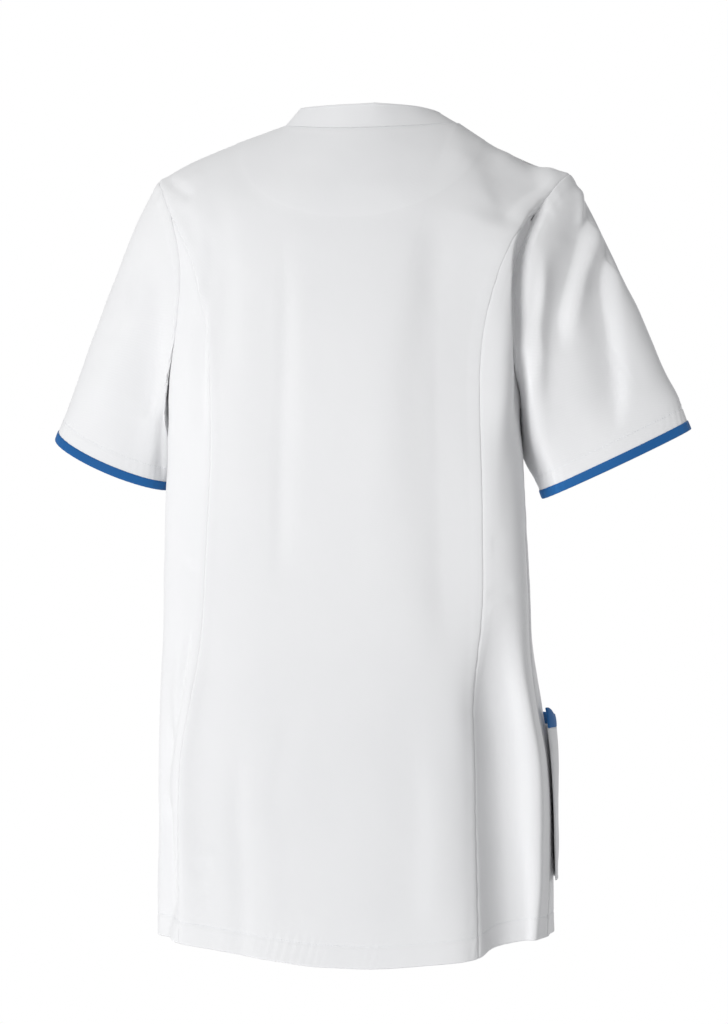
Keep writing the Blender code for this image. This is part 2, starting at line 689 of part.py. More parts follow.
class Piece:
    """One cut piece: the grid of its outer points and what it takes to close it into a wall of cloth."""

    def __init__(self, name, rows, colour, ring=False, flip=False, hem_from=None, wall=CLOTH):
        self.name = name
        self.rows = rows
        self.colour = colour
        self.ring = ring
        self.hem_from = hem_from
        self.wall = wall
        normals = grid_normals(rows, ring)
        self.normals = [[-n for n in row] for row in normals] if flip else normals
        self.flip = flip

    def borders(self):
        """Loops of grid places round the piece: one round a panel, and one at each end of a tube."""
        last_row, last = len(self.rows) - 1, len(self.rows[0]) - 1
        if self.ring:
            return [[(0, i) for i in range(last + 1)], [(last_row, i) for i in range(last, -1, -1)]]
        loop = [(0, i) for i in range(last)] + [(j, last) for j in range(last_row)]
        loop += [(last_row, i) for i in range(last, 0, -1)] + [(j, 0) for j in range(last_row, 0, -1)]
        return [loop]

    def drawn_back(self, before, here, after):
        """The move that takes a border point off both the border's edges beside it by half a seam's gap."""
        turn = 1 if self.flip else -1
        place, normal = self.rows[here[0]][here[1]], self.normals[here[0]][here[1]]
        first = (place - self.rows[before[0]][before[1]]).cross(normal).normalized() * turn
        second = (self.rows[after[0]][after[1]] - place).cross(normal).normalized() * turn
        return (first + second) * SEAM_GAP / 2 / max(0.2, 1 + first.dot(second))


def key_of(point):
    return tuple(round(c * 1e6) for c in point)


def close_seams(pieces):
    """Gives pieces that meet one shared wall direction there, and draws each back by half the seam's gap."""
    shared = {}
    for piece in pieces:
        for loop in piece.borders():
            for n, (j, i) in enumerate(loop):
                back = piece.drawn_back(loop[n - 1], (j, i), loop[(n + 1) % len(loop)])
                shared.setdefault(key_of(piece.rows[j][i]), []).append((piece, j, i, back))
    moves = []
    for places in shared.values():
        if len(places) < 2:
            continue
        normals = [piece.normals[j][i] for piece, j, i, _ in places]
        creased = min(a.dot(b) for a in normals for b in normals) < CREASE_COSINE
        mean = sum(normals, Vector()).normalized()
        mitred = mean / max(MITRE_LIMIT, sum(mean.dot(own) for own in normals) / len(normals))
        for (piece, j, i, back), own in zip(places, normals):
            move = back.copy()
            direction = own if creased else mitred
            if creased and piece.ring:
                others = [n for (other, _, _, _), n in zip(places, normals) if other is not piece]
                move += sum(others, Vector()).normalized() * SEAM_GAP
            moves.append((piece, j, i, move, direction))
    for piece, j, i, move, direction in moves:
        piece.rows[j][i] = piece.rows[j][i] + move
        piece.normals[j][i] = direction


def shell(piece):
    """Closes a grid into a solid: outer faces, inner faces one wall deeper and the cut edges between them."""
    height, width = len(piece.rows), len(piece.rows[0])
    outer = [point for row in piece.rows for point in row]
    inner = []
    for j, row in enumerate(piece.rows):
        hem = piece.hem_from is not None and j >= piece.hem_from
        wall = HEM_CLOTH if hem else piece.wall
        inner += [point - normal * wall for point, normal in zip(row, piece.normals[j])]
    count = len(outer)
    faces = []
    columns = width if piece.ring else width - 1
    for j in range(height - 1):
        for i in range(columns):
            k = (i + 1) % width
            a, b, c, d = j * width + i, j * width + k, (j + 1) * width + k, (j + 1) * width + i
            faces += [(a, b, c), (a, c, d)]
            faces += [(count + c, count + b, count + a), (count + d, count + c, count + a)]
    border = [(i, (i + 1) % width) for i in range(columns)]
    border += [((height - 1) * width + k, (height - 1) * width + i) for i, k in border[:columns]]
    if not piece.ring:
        border += [((j + 1) * width, j * width) for j in range(height - 1)]
        border += [(j * width + width - 1, (j + 1) * width + width - 1) for j in range(height - 1)]
    for a, b in border:
        steady = Vector((0.11, 0.37, 1.0))
        if outer[a].dot(steady) > outer[b].dot(steady):
            faces += [(b, a, count + b), (a, count + a, count + b)]
        else:
            faces += [(b, a, count + a), (b, count + a, count + b)]
    if piece.flip:
        faces = [face[::-1] for face in faces]
    return outer + inner, faces


def binding_mesh(piece):
    """A strip folded over a sleeve's edge: one U-shaped section carried round the sleeve's own points."""
    outer, inner = SEAM_GAP + BINDING_CLOTH, HEM_CLOTH + SEAM_GAP + BINDING_CLOTH
    over = SEAM_GAP + BINDING_CLOTH
    section = (
        (outer, -BINDING_HEIGHT),
        (outer, over * 0.4),
        (outer * 0.4, over),
        (-inner * 0.7, over),
        (-inner, over * 0.4),
        (-inner, -BINDING_HEIGHT),
        (-HEM_CLOTH - SEAM_GAP, -BINDING_HEIGHT),
        (-HEM_CLOTH - SEAM_GAP, SEAM_GAP),
        (SEAM_GAP, SEAM_GAP),
        (SEAM_GAP, -BINDING_HEIGHT),
    )
    size = len(section)
    points = []
    for i, (here, above) in enumerate(zip(piece.rows[-1], piece.rows[-2])):
        up = (above - here).length
        for out, low in section:
            share = -low / up
            normal = piece.normals[-1][i].lerp(piece.normals[-2][i], max(0, share))
            points.append(here + (above - here) * share + normal * out)
    count = len(piece.rows[-1])
    faces = []
    for i in range(count):
        k = (i + 1) % count
        for n in range(size):
            m = (n + 1) % size
            a, b, c, d = i * size + n, i * size + m, k * size + m, k * size + n
            downward = section[m][1] > section[n][1]
            faces += [(a, b, c), (a, c, d)] if downward else [(a, b, d), (b, c, d)]
    return points, faces


def material(name, colour):
    made = bpy.data.materials.new(name)
    made.use_nodes = True
    base, roughness = colour
    surface = made.node_tree.nodes["Principled BSDF"]
    surface.inputs["Base Color"].default_value = (*base, 1)
    surface.inputs["Roughness"].default_value = roughness
    surface.inputs["Metallic"].default_value = 0
    made.diffuse_color = (*base, 1)
    return made


def finish(name, mesh, colour, collection):
    """Turns a mesh's faces outwards, shades it and links it as the object of that name."""
    volume = sum(face.area * face.normal.dot(mesh.vertices[face.vertices[0]].co) for face in mesh.polygons)
    if volume < 0:
        mesh.flip_normals()
    mesh.shade_smooth()
    mesh.set_sharp_from_angle(angle=math.radians(50))
    mesh.materials.append(material(name + "_cloth", colour))
    made = bpy.data.objects.new(name, mesh)
    collection.objects.link(made)


def add_object(name, points, faces, colour, collection):
    mesh = bpy.data.meshes.new(name)
    mesh.from_pydata([tuple(p) for p in points], [], faces)
    finish(name, mesh, colour, collection)


def main():
    for old in list(bpy.data.objects):
        bpy.data.objects.remove(old)
    collection = bpy.data.collections.new("medical_tunic")
    bpy.context.scene.collection.children.link(collection)

    centre_rows = back_centre_rows()
    side_rows = {side: back_side_rows(side) for side in (1, -1)}
    front = front_rows()
    last_row = len(CENTRE_EDGE) - 2
    side_last = len(SIDE_SEAM_EDGE) - 2
    body = [
        Piece("back_centre", centre_rows, WHITE, hem_from=last_row),
        Piece("back_side_left", side_rows[1], WHITE, hem_from=side_last),
        Piece("back_side_right", side_rows[-1], WHITE, hem_from=side_last),
        Piece("front", front, WHITE, hem_from=last_row),
    ]
    base = collar_base(centre_rows, front)
    for piece in body:
        middle = piece.rows[len(piece.rows) // 2]
        probe = middle[len(middle) // 2]
        normal = piece.normals[len(piece.rows) // 2][len(middle) // 2]
        if normal.dot(Vector((probe.x, probe.y, 0))) < 0:
            piece.normals = [[-n for n in row] for row in piece.normals]
            piece.flip = True

    collar = Piece("collar", collar_rows(base), WHITE)
    if collar.normals[1][len(base) // 2].y < 0:
        collar.normals = [[-n for n in row] for row in collar.normals]
        collar.flip = True
    for row in collar.rows:
        mitred = (row[0] + row[-1]) / 2
        mitred.x = base[0].x
        row[0], row[-1] = mitred, mitred.copy()

    sleeves = []
    for sleeve in SLEEVES:
        ring = armhole_ring(sleeve.side, centre_rows, side_rows[sleeve.side], front)
        rows = sleeve_rows(sleeve, ring)
        piece = Piece("sleeve_" + sleeve.name, rows, WHITE, ring=True, hem_from=SLEEVE_ROWS - 2)
        centre = sum(rows[-1], Vector()) / len(rows[-1])
        if piece.normals[-1][0].dot(rows[-1][0] - centre) < 0:
            piece.normals = [[-n for n in row] for row in piece.normals]
            piece.flip = True
        sleeves.append(piece)

    close_seams(body + [collar] + sleeves)
    for piece in body + [collar] + sleeves:
        points, faces = shell(piece)
        add_object(piece.name, points, faces, piece.colour, collection)
    for sleeve, piece in zip(SLEEVES, sleeves):
        points, faces = binding_mesh(piece)
        add_object("sleeve_binding_" + sleeve.name, points, faces, BLUE, collection)

    solid = facing_mesh(body[0])
    mesh = bpy.data.meshes.new("back_neck_facing")
    solid.to_mesh(mesh)
    solid.free()
    finish("back_neck_facing", mesh, WHITE, collection)

    for side, word in ((1, "left"), (-1, "right")):
        for name, low, high, rows, colour in (
            ("pocket_", lambda a: POCKET_LOW_Z, band_z, POCKET_ROWS, WHITE),
            ("pocket_band_", lambda a: band_z(a) + SEAM_GAP, rim_z, 2, BLUE),
        ):
            lower = pocket_grid(side, low, high, rows, 0)
            upper = pocket_grid(side, low, high, rows, CLOTH)
            points = [p for row in upper for p in row] + [p for row in lower for p in row]
            piece = Piece(name + word, upper, colour)
            _, faces = shell(piece)
            add_object(name + word, points, faces, colour, collection)


main()
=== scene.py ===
"""The dressed medical tunic: finely divided cloth on the forms of the part, with its seams, stitching, creases,
weave and edging, a studio and a camera behind the wearer's place.

The frame is the part's: +Z is up and the back faces +Y, so the wearer's left is +X. Sizes are in metres and
angles in degrees unless a name says otherwise.
"""

import math
from collections import namedtuple

import bpy
import numpy as np
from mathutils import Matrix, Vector, noise


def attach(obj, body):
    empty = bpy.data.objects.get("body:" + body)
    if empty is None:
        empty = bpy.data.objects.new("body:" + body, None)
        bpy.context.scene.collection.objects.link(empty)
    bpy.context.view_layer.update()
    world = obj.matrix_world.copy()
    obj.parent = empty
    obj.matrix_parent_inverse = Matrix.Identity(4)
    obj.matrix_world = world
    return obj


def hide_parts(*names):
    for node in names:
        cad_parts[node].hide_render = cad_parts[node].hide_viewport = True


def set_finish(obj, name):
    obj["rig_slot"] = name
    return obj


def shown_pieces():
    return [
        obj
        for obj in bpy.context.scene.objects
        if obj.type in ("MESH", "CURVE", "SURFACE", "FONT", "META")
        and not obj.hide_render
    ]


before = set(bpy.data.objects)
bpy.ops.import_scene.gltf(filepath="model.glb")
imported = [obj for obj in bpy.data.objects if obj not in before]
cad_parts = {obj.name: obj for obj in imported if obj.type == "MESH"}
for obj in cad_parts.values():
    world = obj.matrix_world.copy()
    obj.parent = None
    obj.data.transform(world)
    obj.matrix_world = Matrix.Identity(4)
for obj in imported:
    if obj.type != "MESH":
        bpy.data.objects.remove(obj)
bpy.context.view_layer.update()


def table(columns, *rows):
    """Named columns from rows of numbers."""
    return dict(zip(columns.split(), np.array(rows).T))


# Lengths of the cut
HEM_Z = -0.751
NECK_HALF = 0.081
NECK_BACK_DROP = 0.009
V_DEPTH = 0.190
SHOULDER_HALF = 0.190
SHOULDER_DROP = 0.048
ARMPIT_Z = -0.240
PRINCESS_TOP_Z = -0.088
PRINCESS_STEP = 0.006

# The shoulder line: its height at a distance from the middle, as the wearer's left and right shoulders hold it
SHOULDERS = table(
    "x left right",
    (0.081, 0.0000, 0.0000),
    (0.095, -0.0050, -0.0088),
    (0.112, -0.0110, -0.0185),
    (0.140, -0.0222, -0.0318),
    (0.165, -0.0335, -0.0415),
    (0.190, -0.0480, -0.0480),
)
NECK_SLOPE = 0.45

# The garment's rings: how wide and how deep it is at each height. back and front are measured from mid, the
# depth where the ring is widest. sway moves the ring to the wearer's left and turn twists the seams round it.
RINGS = table(
    "z half_width back front mid sway turn",
    (0.030, 0.2150, 0.056, 0.030, 0.000, 0.0000, 0.0),
    (0.000, 0.2120, 0.068, 0.040, 0.000, 0.0000, 0.0),
    (-0.050, 0.2030, 0.086, 0.060, 0.004, 0.0080, 0.0),
    (-0.070, 0.1940, 0.093, 0.070, 0.007, 0.0090, 0.0),
    (-0.090, 0.1840, 0.098, 0.080, 0.010, 0.0100, -1.0),
    (-0.130, 0.1700, 0.103, 0.099, 0.016, 0.0130, -2.0),
    (-0.180, 0.1625, 0.104, 0.125, 0.021, 0.0185, -3.0),
    (-0.240, 0.1590, 0.100, 0.146, 0.024, 0.0235, -4.0),
    (-0.310, 0.1625, 0.091, 0.148, 0.024, 0.0220, -3.5),
    (-0.400, 0.1665, 0.082, 0.140, 0.022, 0.0212, -2.5),
    (-0.470, 0.1695, 0.088, 0.137, 0.018, 0.0202, -1.0),
    (-0.540, 0.1765, 0.100, 0.138, 0.014, 0.0170, 1.0),
    (-0.600, 0.1803, 0.109, 0.140, 0.011, 0.0145, 2.5),
    (-0.700, 0.1825, 0.121, 0.141, 0.009, 0.0130, 3.5),
    (-0.751, 0.1825, 0.125, 0.142, 0.008, 0.0125, 4.0),
)
BACK_SQUARE = 2.5
FRONT_SQUARE = 2.2
CROWN_DEPTH = 0.100
NECK_ROUND = 0.030

# The armhole below the shoulder tip: the angle round the ring where the back and the front panels end.
ARMHOLE = table(
    "z back front",
    (-0.048, 66.6, 68.0),
    (-0.060, 63.0, 64.0),
    (-0.090, 62.0, 61.0),
    (-0.125, 62.5, 60.0),
    (-0.160, 64.0, 61.0),
    (-0.190, 67.5, 65.0),
    (-0.210, 71.5, 70.0),
    (-0.226, 77.5, 76.5),
    (-0.236, 84.0, 83.5),
    (-0.240, 90.0, 90.0),
)

# The princess seams of the back: their distance from the middle of the ring.
PRINCESS = table(
    "z left right",
    (-0.088, 0.1660, 0.1655),
    (-0.100, 0.1585, 0.1535),
    (-0.115, 0.1495, 0.1415),
    (-0.137, 0.1385, 0.1340),
    (-0.160, 0.1300, 0.1305),
    (-0.195, 0.1210, 0.1270),
    (-0.235, 0.1150, 0.1262),
    (-0.290, 0.1155, 0.1272),
    (-0.390, 0.1217, 0.1288),
    (-0.470, 0.1243, 0.1310),
    (-0.524, 0.1300, 0.1330),
    (-0.580, 0.1370, 0.1348),
    (-0.660, 0.1386, 0.1350),
    (-0.751, 0.1370, 0.1360),
)

# How far the hem is raised round the ring: the angle from the middle of the back, and the two sides of the wearer
HEM_RISE = table(
    "angle left right",
    (0.0, 0.0000, 0.0000),
    (10.0, 0.0040, -0.0010),
    (28.0, 0.0100, 0.0030),
    (48.0, 0.0130, 0.0070),
    (67.0, 0.0115, 0.0150),
    (90.0, 0.0075, 0.0130),
    (130.0, 0.0045, 0.0060),
    (180.0, 0.0000, 0.0000),
)

# Soft vertical folds of the body, placed by their angle from the middle of the back, plus to the wearer's left.
# The height is plus for a ridge, and ends is how much of it is left at the lower end.
Fold = namedtuple("Fold", "top_z top_angle low_z low_angle width height ends")
BODY_FOLDS = (
    Fold(-0.400, -54.0, -0.790, -60.0, 9.0, -0.0090, 1.0),
    Fold(-0.400, -32.0, -0.790, -36.0, 11.0, 0.0055, 1.0),
    Fold(-0.430, -70.0, -0.790, -73.0, 8.0, 0.0055, 1.0),
    Fold(-0.420, 52.0, -0.790, 42.0, 9.0, 0.0055, 1.0),
    Fold(-0.440, 66.0, -0.790, 62.0, 9.0, -0.0070, 1.0),
    Fold(-0.060, -22.0, -0.480, -16.0, 7.0, -0.0035, 0.0),
    Fold(-0.070, 17.0, -0.460, 15.0, 8.0, -0.0025, 0.0),
    Fold(-0.080, 34.0, -0.270, 36.0, 6.0, -0.0025, 0.0),
    Fold(-0.150, -58.0, -0.330, -60.0, 8.0, 0.0040, 0.0),
    Fold(-0.300, 160.0, -0.790, 155.0, 12.0, -0.0050, 1.0),
    Fold(-0.300, -158.0, -0.790, -152.0, 12.0, -0.0060, 1.0),
    Fold(-0.330, 178.0, -0.790, 182.0, 14.0, 0.0040, 1.0),
)

# Sleeves. Each is a tube from the armhole to a flattened cuff whose centre, half sizes and lean are its own.
Sleeve = namedtuple("Sleeve", "name side centre half_wide half_deep abduction forward cap")
SLEEVES = (
    Sleeve("left", 1, (0.2465, -0.020, -0.3085), 0.0595, 0.0545, 24.0, 9.0, 0.040),
    Sleeve("right", -1, (-0.2230, -0.018, -0.3105), 0.0742, 0.0340, 25.0, 6.0, 0.026),
)
SLEEVE_HEM = 0.028
UNDER_PULL = 0.45
CUFF_PULL = 0.75

# Under the arm each sleeve hangs in towards the body and the front, by the share of the way down.
SAG_SHAPE = table(
    "down size",
    (0.00, 0.000),
    (0.12, 0.000),
    (0.32, 0.450),
    (0.52, 0.970),
    (0.68, 0.700),
    (0.85, 0.070),
    (1.00, 0.000),
)
SAG_INWARD = {1: 0.006, -1: 0.013}
SAG_AHEAD = {1: 0.012, -1: 0.024}
SAG_SHARE = 0.54
SAG_WIDTH = 0.09
SAG_CLEAR = 0.0022

# Sleeve folds, placed by the share of the way round from the shoulder, down the back and up the front, and by
# the share of the way down the sleeve. drift is how far round the fold moves by its lower end.
SleeveFold = namedtuple("SleeveFold", "side share drift width height start end")
SLEEVE_FOLDS = (
    SleeveFold(-1, 0.315, 0.050, 0.040, 0.0055, 0.05, 1.05),
    SleeveFold(-1, 0.700, -0.020, 0.045, -0.0050, 0.10, 0.90),
    SleeveFold(1, 0.300, 0.020, 0.050, -0.0040, 0.10, 1.00),
    SleeveFold(1, 0.180, 0.020, 0.050, 0.0030, 0.10, 0.90),
    SleeveFold(1, 0.720, -0.020, 0.050, -0.0045, 0.10, 0.90),
)

# The contrast binding that is folded over each sleeve's edge, and the pockets' bands
BINDING_CLOTH = 0.0008
BINDING_HEIGHT = 0.0078

# The standing collar band, by the share of the way from the middle of the back to the point of the V
COLLAR = table(
    "share height rise right_height right_rise",
    (0.00, 0.0255, 66.0, 0.0255, 66.0),
    (0.12, 0.0250, 62.0, 0.0245, 52.0),
    (0.22, 0.0235, 56.0, 0.0225, 36.0),
    (0.31, 0.0220, 50.0, 0.0220, 25.0),
    (0.45, 0.0220, 42.0, 0.0220, 29.0),
    (0.70, 0.0220, 42.0, 0.0215, 41.0),
    (1.00, 0.0200, 44.0, 0.0200, 44.0),
)
COLLAR_FAN = 0.110

# The back neck facing, whose lower edge shows through the back as an arc. Outside the facing the back's colour is
# painted darker by FACING_SHADE: painted shade for the shaded inside seen through one layer
FACING_HALF = 0.110
FACING_X = 0.006
FACING_TOP_Z = -0.020
FACING_DROP = 0.0755
FACING_SIZE = 0.085
FACING_LIFT = 0.00045
FACING_SHADE = 0.16
FACING_ROWS = 26

# Hip pockets, set into the side seams
POCKET_SEAM_ANGLE = 90.6
POCKET_FRONT_ANGLE = 143.0
POCKET_LOW_Z = -0.700
POCKET_RIM_Z = -0.547
RIM_RISE = 0.009
RIM_RISE_SHARE = 0.16
BAND_HEIGHT = 0.011
BAND_EXTRA = 0.008
POCKET_BULGE = 0.0105
POCKET_REST = 0.0006

EVEN_Z = -0.330
EDGE_POWER = 5

# Cloth and sewing
CLOTH = 0.0010
HEM_CLOTH = 0.0021
STITCH = 0.0026
STITCH_GAP = 0.0007
THREAD = 0.00030
HEM_STITCH = 0.0185
CUFF_STITCH = 0.0205
NECK_STITCH = 0.0024
COLLAR_STITCH = 0.0022
POCKET_STITCH = 0.002
FACING_DEPTH = CLOTH + 0.0003
SEAM_SINK = 0.0007
SEAM_PRESSED = 0.0004
PRESSED_WIDTH = 0.0095

# How finely each piece is divided
TOP_ROWS = 22
ARMHOLE_ROWS = 54
LOWER_ROWS = 84
HEM_ROWS = 22
SIDE_COLUMNS = 44
NECK_COLUMNS = 42
SHOULDER_COLUMNS = 30
COLLAR_ROWS = 18
SLEEVE_ROWS = 66
SLEEVE_HEM_ROWS = 22
HEM_BAND = 0.027

# The camera stands behind the wearer's place, level, a little to the wearer's right of straight behind
VIEW_AZIMUTH = 188.0
VIEW_DISTANCE = 2.45
VIEW_Z = -0.355
VIEW_SHIFT = -0.00736
VIEW_HEIGHT = 1024 * 0.00092

# Creases laid on the forms, in millimetres, by the side they are seen from. A path's points are across to
# the right in that view and up. height is plus for a ridge. near and far are the widths to the left and the right.
Crease = namedtuple("Crease", "height near far path")
CREASES = {
    "back": (
        Crease(-9.0, 4.0, 8.0, ((176, -53), (156, -74), (139, -100), (134, -125), (132, -169),
                (133, -211))),
        Crease(6.0, 6.0, 10.0, ((159, -101), (157, -152), (153, -192), (149, -252), (154, -303),
                (157, -331))),
        Crease(7.0, 20.0, 5.0, ((162, -64), (143, -81), (128, -103), (123, -142), (122, -197),
                (123, -252), (125, -298))),
        Crease(3.0, 22.0, 12.0, ((63, -20), (83, -31), (101, -59), (115, -90))),
        Crease(-6.5, 36.0, 9.0, ((169, -41), (145, -56), (127, -73), (117, -96))),
        Crease(2.6, 9.0, 9.0, ((110, -24), (144, -37), (175, -48))),
        Crease(-11.0, 26.0, 8.0, ((201, -64), (195, -109), (182, -151), (169, -215))),
        Crease(2.0, 6.0, 8.0, ((210, -88), (202, -125), (190, -160), (178, -201))),
        Crease(-12.0, 26.0, 6.0, ((221, -92), (218, -148), (223, -197), (227, -232), (221, -289))),
        Crease(1.8, 4.0, 3.0, ((189, -53), (195, -71), (197, -92))),
        Crease(-1.8, 5.0, 4.0, ((195, -59), (202, -82), (207, -101))),
        Crease(1.5, 10.0, 14.0, ((233, -142), (247, -206), (260, -252))),
        Crease(-10.0, 44.0, 15.0, ((118, -427), (125, -519), (130, -588), (135, -648), (145, -703),
                (159, -878))),
        Crease(-11.0, 80.0, 34.0, ((109, -427), (123, -546), (132, -666), (145, -887))),
        Crease(2.0, 10.0, 8.0, ((159, -528), (158, -620), (157, -758))),
        Crease(-1.6, 4.0, 3.0, ((105, -434), (118, -428), (131, -422))),
        Crease(1.0, 3.0, 4.0, ((107, -442), (120, -438), (129, -434))),
        Crease(-0.9, 4.0, 4.0, ((110, -385), (122, -378))),
        Crease(-9.0, 22.0, 40.0, ((68, -31), (63, -160), (63, -270), (66, -399), (77, -528))),
        Crease(1.6, 12.0, 9.0, ((118, -123), (114, -252), (112, -399))),
        Crease(-1.5, 22.0, 14.0, ((30, -528), (37, -620), (33, -712), (28, -767))),
        Crease(1.8, 12.0, 16.0, ((53, -565), (59, -648), (55, -749))),
        Crease(-1.6, 6.0, 9.0, ((-82, -86), (-81, -188), (-85, -298), (-86, -447))),
        Crease(0.7, 9.0, 12.0, ((-66, -96), (-63, -252), (-66, -399))),
        Crease(-1.6, 6.0, 8.0, ((-150, -88), (-149, -125), (-152, -160))),
        Crease(-1.2, 10.0, 10.0, ((-146, -54), (-138, -96), (-140, -151))),
        Crease(-2.6, 10.0, 3.0, ((-154, -151), (-155, -201), (-156, -243), (-155, -289))),
        Crease(-0.5, 14.0, 14.0, ((-11, -188), (-18, -326), (-15, -454))),
        Crease(-2.2, 4.5, 5.0, ((-191, -46), (-178, -57), (-164, -67))),
        Crease(-1.0, 6.0, 6.0, ((-177, -73), (-167, -88), (-164, -109))),
        Crease(1.0, 6.0, 5.0, ((-154, -39), (-167, -49), (-184, -52))),
        Crease(-1.3, 2.5, 5.0, ((-216, -101), (-221, -131), (-224, -164))),
        Crease(-3.2, 16.0, 12.0, ((-204, -105), (-202, -188), (-204, -247), (-208, -275))),
        Crease(-1.4, 3.5, 3.5, ((-202, -248), (-207, -270))),
        Crease(-3.0, 8.0, 4.0, ((-190, -247), (-192, -280), (-193, -333))),
        Crease(1.0, 16.0, 16.0, ((-239, -188), (-243, -252))),
        Crease(-3.4, 3.5, 2.2, ((-167, -453), (-171, -487), (-178, -528), (-184, -567), (-189, -609))),
        Crease(-7.5, 6.0, 3.0, ((-189, -609), (-187, -675), (-181, -747))),
        Crease(2.0, 5.0, 10.0, ((-161, -464), (-167, -528), (-175, -602), (-173, -675), (-168, -744))),
        Crease(-1.8, 9.0, 9.0, ((-121, -556), (-125, -620), (-121, -694), (-123, -822))),
        Crease(0.9, 12.0, 12.0, ((-101, -611), (-96, -684), (-92, -758))),
        Crease(-0.8, 9.0, 12.0, ((-75, -528), (-85, -592), (-96, -648))),
        Crease(-1.3, 3.5, 3.5, ((-168, -683), (-156, -681), (-145, -676))),
        Crease(0.7, 3.5, 3.5, ((-166, -673), (-153, -671), (-144, -667))),
        Crease(-1.2, 4.0, 4.0, ((-173, -714), (-160, -706), (-149, -699))),
        Crease(-1.0, 4.0, 4.0, ((-167, -735), (-155, -723), (-147, -717))),
        Crease(-1.3, 4.0, 4.0, ((-176, -401), (-167, -406), (-160, -413))),
        Crease(0.7, 4.0, 4.0, ((-171, -395), (-162, -401))),
    ),
    "front": (
        Crease(2.0, 10.0, 14.0, ((-150, -260), (-85, -235), (-40, -270))),
        Crease(2.0, 10.0, 14.0, ((155, -255), (90, -240), (45, -280))),
        Crease(-2.8, 10.0, 16.0, ((-120, -300), (-85, -420), (-95, -560))),
        Crease(-2.6, 14.0, 10.0, ((115, -300), (80, -430), (92, -570))),
        Crease(1.8, 18.0, 22.0, ((-20, -330), (-12, -520), (-24, -740))),
        Crease(-2.6, 12.0, 16.0, ((48, -480), (55, -620), (50, -752))),
        Crease(-2.4, 14.0, 12.0, ((-62, -500), (-70, -620), (-66, -752))),
        Crease(-1.4, 6.0, 7.0, ((-165, -120), (-140, -150), (-118, -175))),
        Crease(-1.4, 6.0, 7.0, ((165, -118), (142, -146), (120, -172))),
        Crease(-3.0, 8.0, 8.0, ((-215, -140), (-225, -210), (-232, -270))),
        Crease(-2.6, 8.0, 9.0, ((225, -130), (240, -205), (250, -275))),
        Crease(1.8, 8.0, 8.0, ((195, -150), (200, -220), (202, -280))),
        Crease(1.8, 8.0, 8.0, ((-188, -170), (-190, -230), (-186, -290))),
    ),
    "left": (
        Crease(-1.6, 12.0, 10.0, ((20, -330), (12, -480), (18, -700))),
        Crease(-2.0, 9.0, 9.0, ((-35, -130), (-40, -200), (-30, -280))),
    ),
    "right": (
        Crease(2.4, 16.0, 16.0, ((-50, -250), (85, -250))),
        Crease(-1.8, 11.0, 10.0, ((-15, -320), (-22, -460), (-12, -620))),
        Crease(-2.0, 9.0, 9.0, ((30, -130), (36, -200), (30, -280))),
    ),
}


def mix(a, b, share):
    return a + (b - a) * share


def ease(share):
    """0 to 1 with a level start and end."""
    share = np.clip(share, 0.0, 1.0)
    return share * share * (3 - 2 * share)


def curve(start, leaving, end, arriving, t):
    """A smooth run between two values or points with the slopes that it has there."""
    run = start * (1 + 2 * t) * (1 - t) ** 2 + leaving * t * (1 - t) ** 2
    return run + end * t * t * (3 - 2 * t) - arriving * t * t * (1 - t)


def along(rows, column, at):
    """A table's column as a smooth curve over its first column."""
    keys, values = next(iter(rows.values())), rows[column]
    if keys[0] > keys[-1]:
        keys, values = keys[::-1], values[::-1]
    at = np.clip(at, keys[0], keys[-1])
    last = len(keys) - 1
    i = np.clip(np.searchsorted(keys, at, side="left") - 1, 0, last - 1)
    low = np.maximum(0, np.arange(last + 1) - 1)
    high = np.minimum(last, np.arange(last + 1) + 1)
    slopes = (values[high] - values[low]) / (keys[high] - keys[low])
    step = keys[i + 1] - keys[i]
    return curve(values[i], slopes[i] * step, values[i + 1], slopes[i + 1] * step, (at - keys[i]) / step)


def between(at, keys, points):
    """Points at places along a line of points, whose own places are the keys."""
    return np.stack([np.interp(at, keys, points[:, n]) for n in range(3)], axis=-1)


def lengths_of(path):
    """How far along a line of points each one is."""
    return np.append(0.0, np.cumsum(np.linalg.norm(np.diff(path, axis=0), axis=1)))


def unit(vectors):
    return vectors / np.maximum(np.linalg.norm(vectors, axis=-1, keepdims=True), 1e-12)


def ridge(x):
    """Height of the shoulder line at a distance from the middle, carried on over the neck as a rounded top."""
    x = np.asarray(x, dtype=float)
    left = along(SHOULDERS, "left", np.abs(x))
    right = along(SHOULDERS, "right", np.abs(x))
    line = np.where(x > 0, left, right)
    flank = (NECK_HALF - np.abs(x)) * NECK_SLOPE
    cap = (NECK_HALF - (x * x / NECK_ROUND + NECK_ROUND) / 2) * NECK_SLOPE
    return np.where(np.abs(x) > NECK_HALF, line, np.where(np.abs(x) > NECK_ROUND, flank, cap))


def angle_at(x, z, square):
    share = np.minimum(1.0, x / along(RINGS, "half_width", z))
    return np.degrees(np.arcsin(share ** (square / 2)))


def fold_height(angle, z):
    total = np.zeros(np.broadcast(angle, z).shape)
    for fold in BODY_FOLDS:
        share = (fold.top_z - z) / (fold.top_z - fold.low_z)
        centre = mix(fold.top_angle, fold.low_angle, share)
        off = (angle - centre + 180) % 360 - 180
        strength = ease(share * 2.2) * mix(ease((1 - share) * 2.2), 1.0, fold.ends)
        strength = np.where((share > 0) & (share < 1), strength, 0.0)
        total = total + fold.height * strength * np.exp(-((off / fold.width) ** 2))
    return total


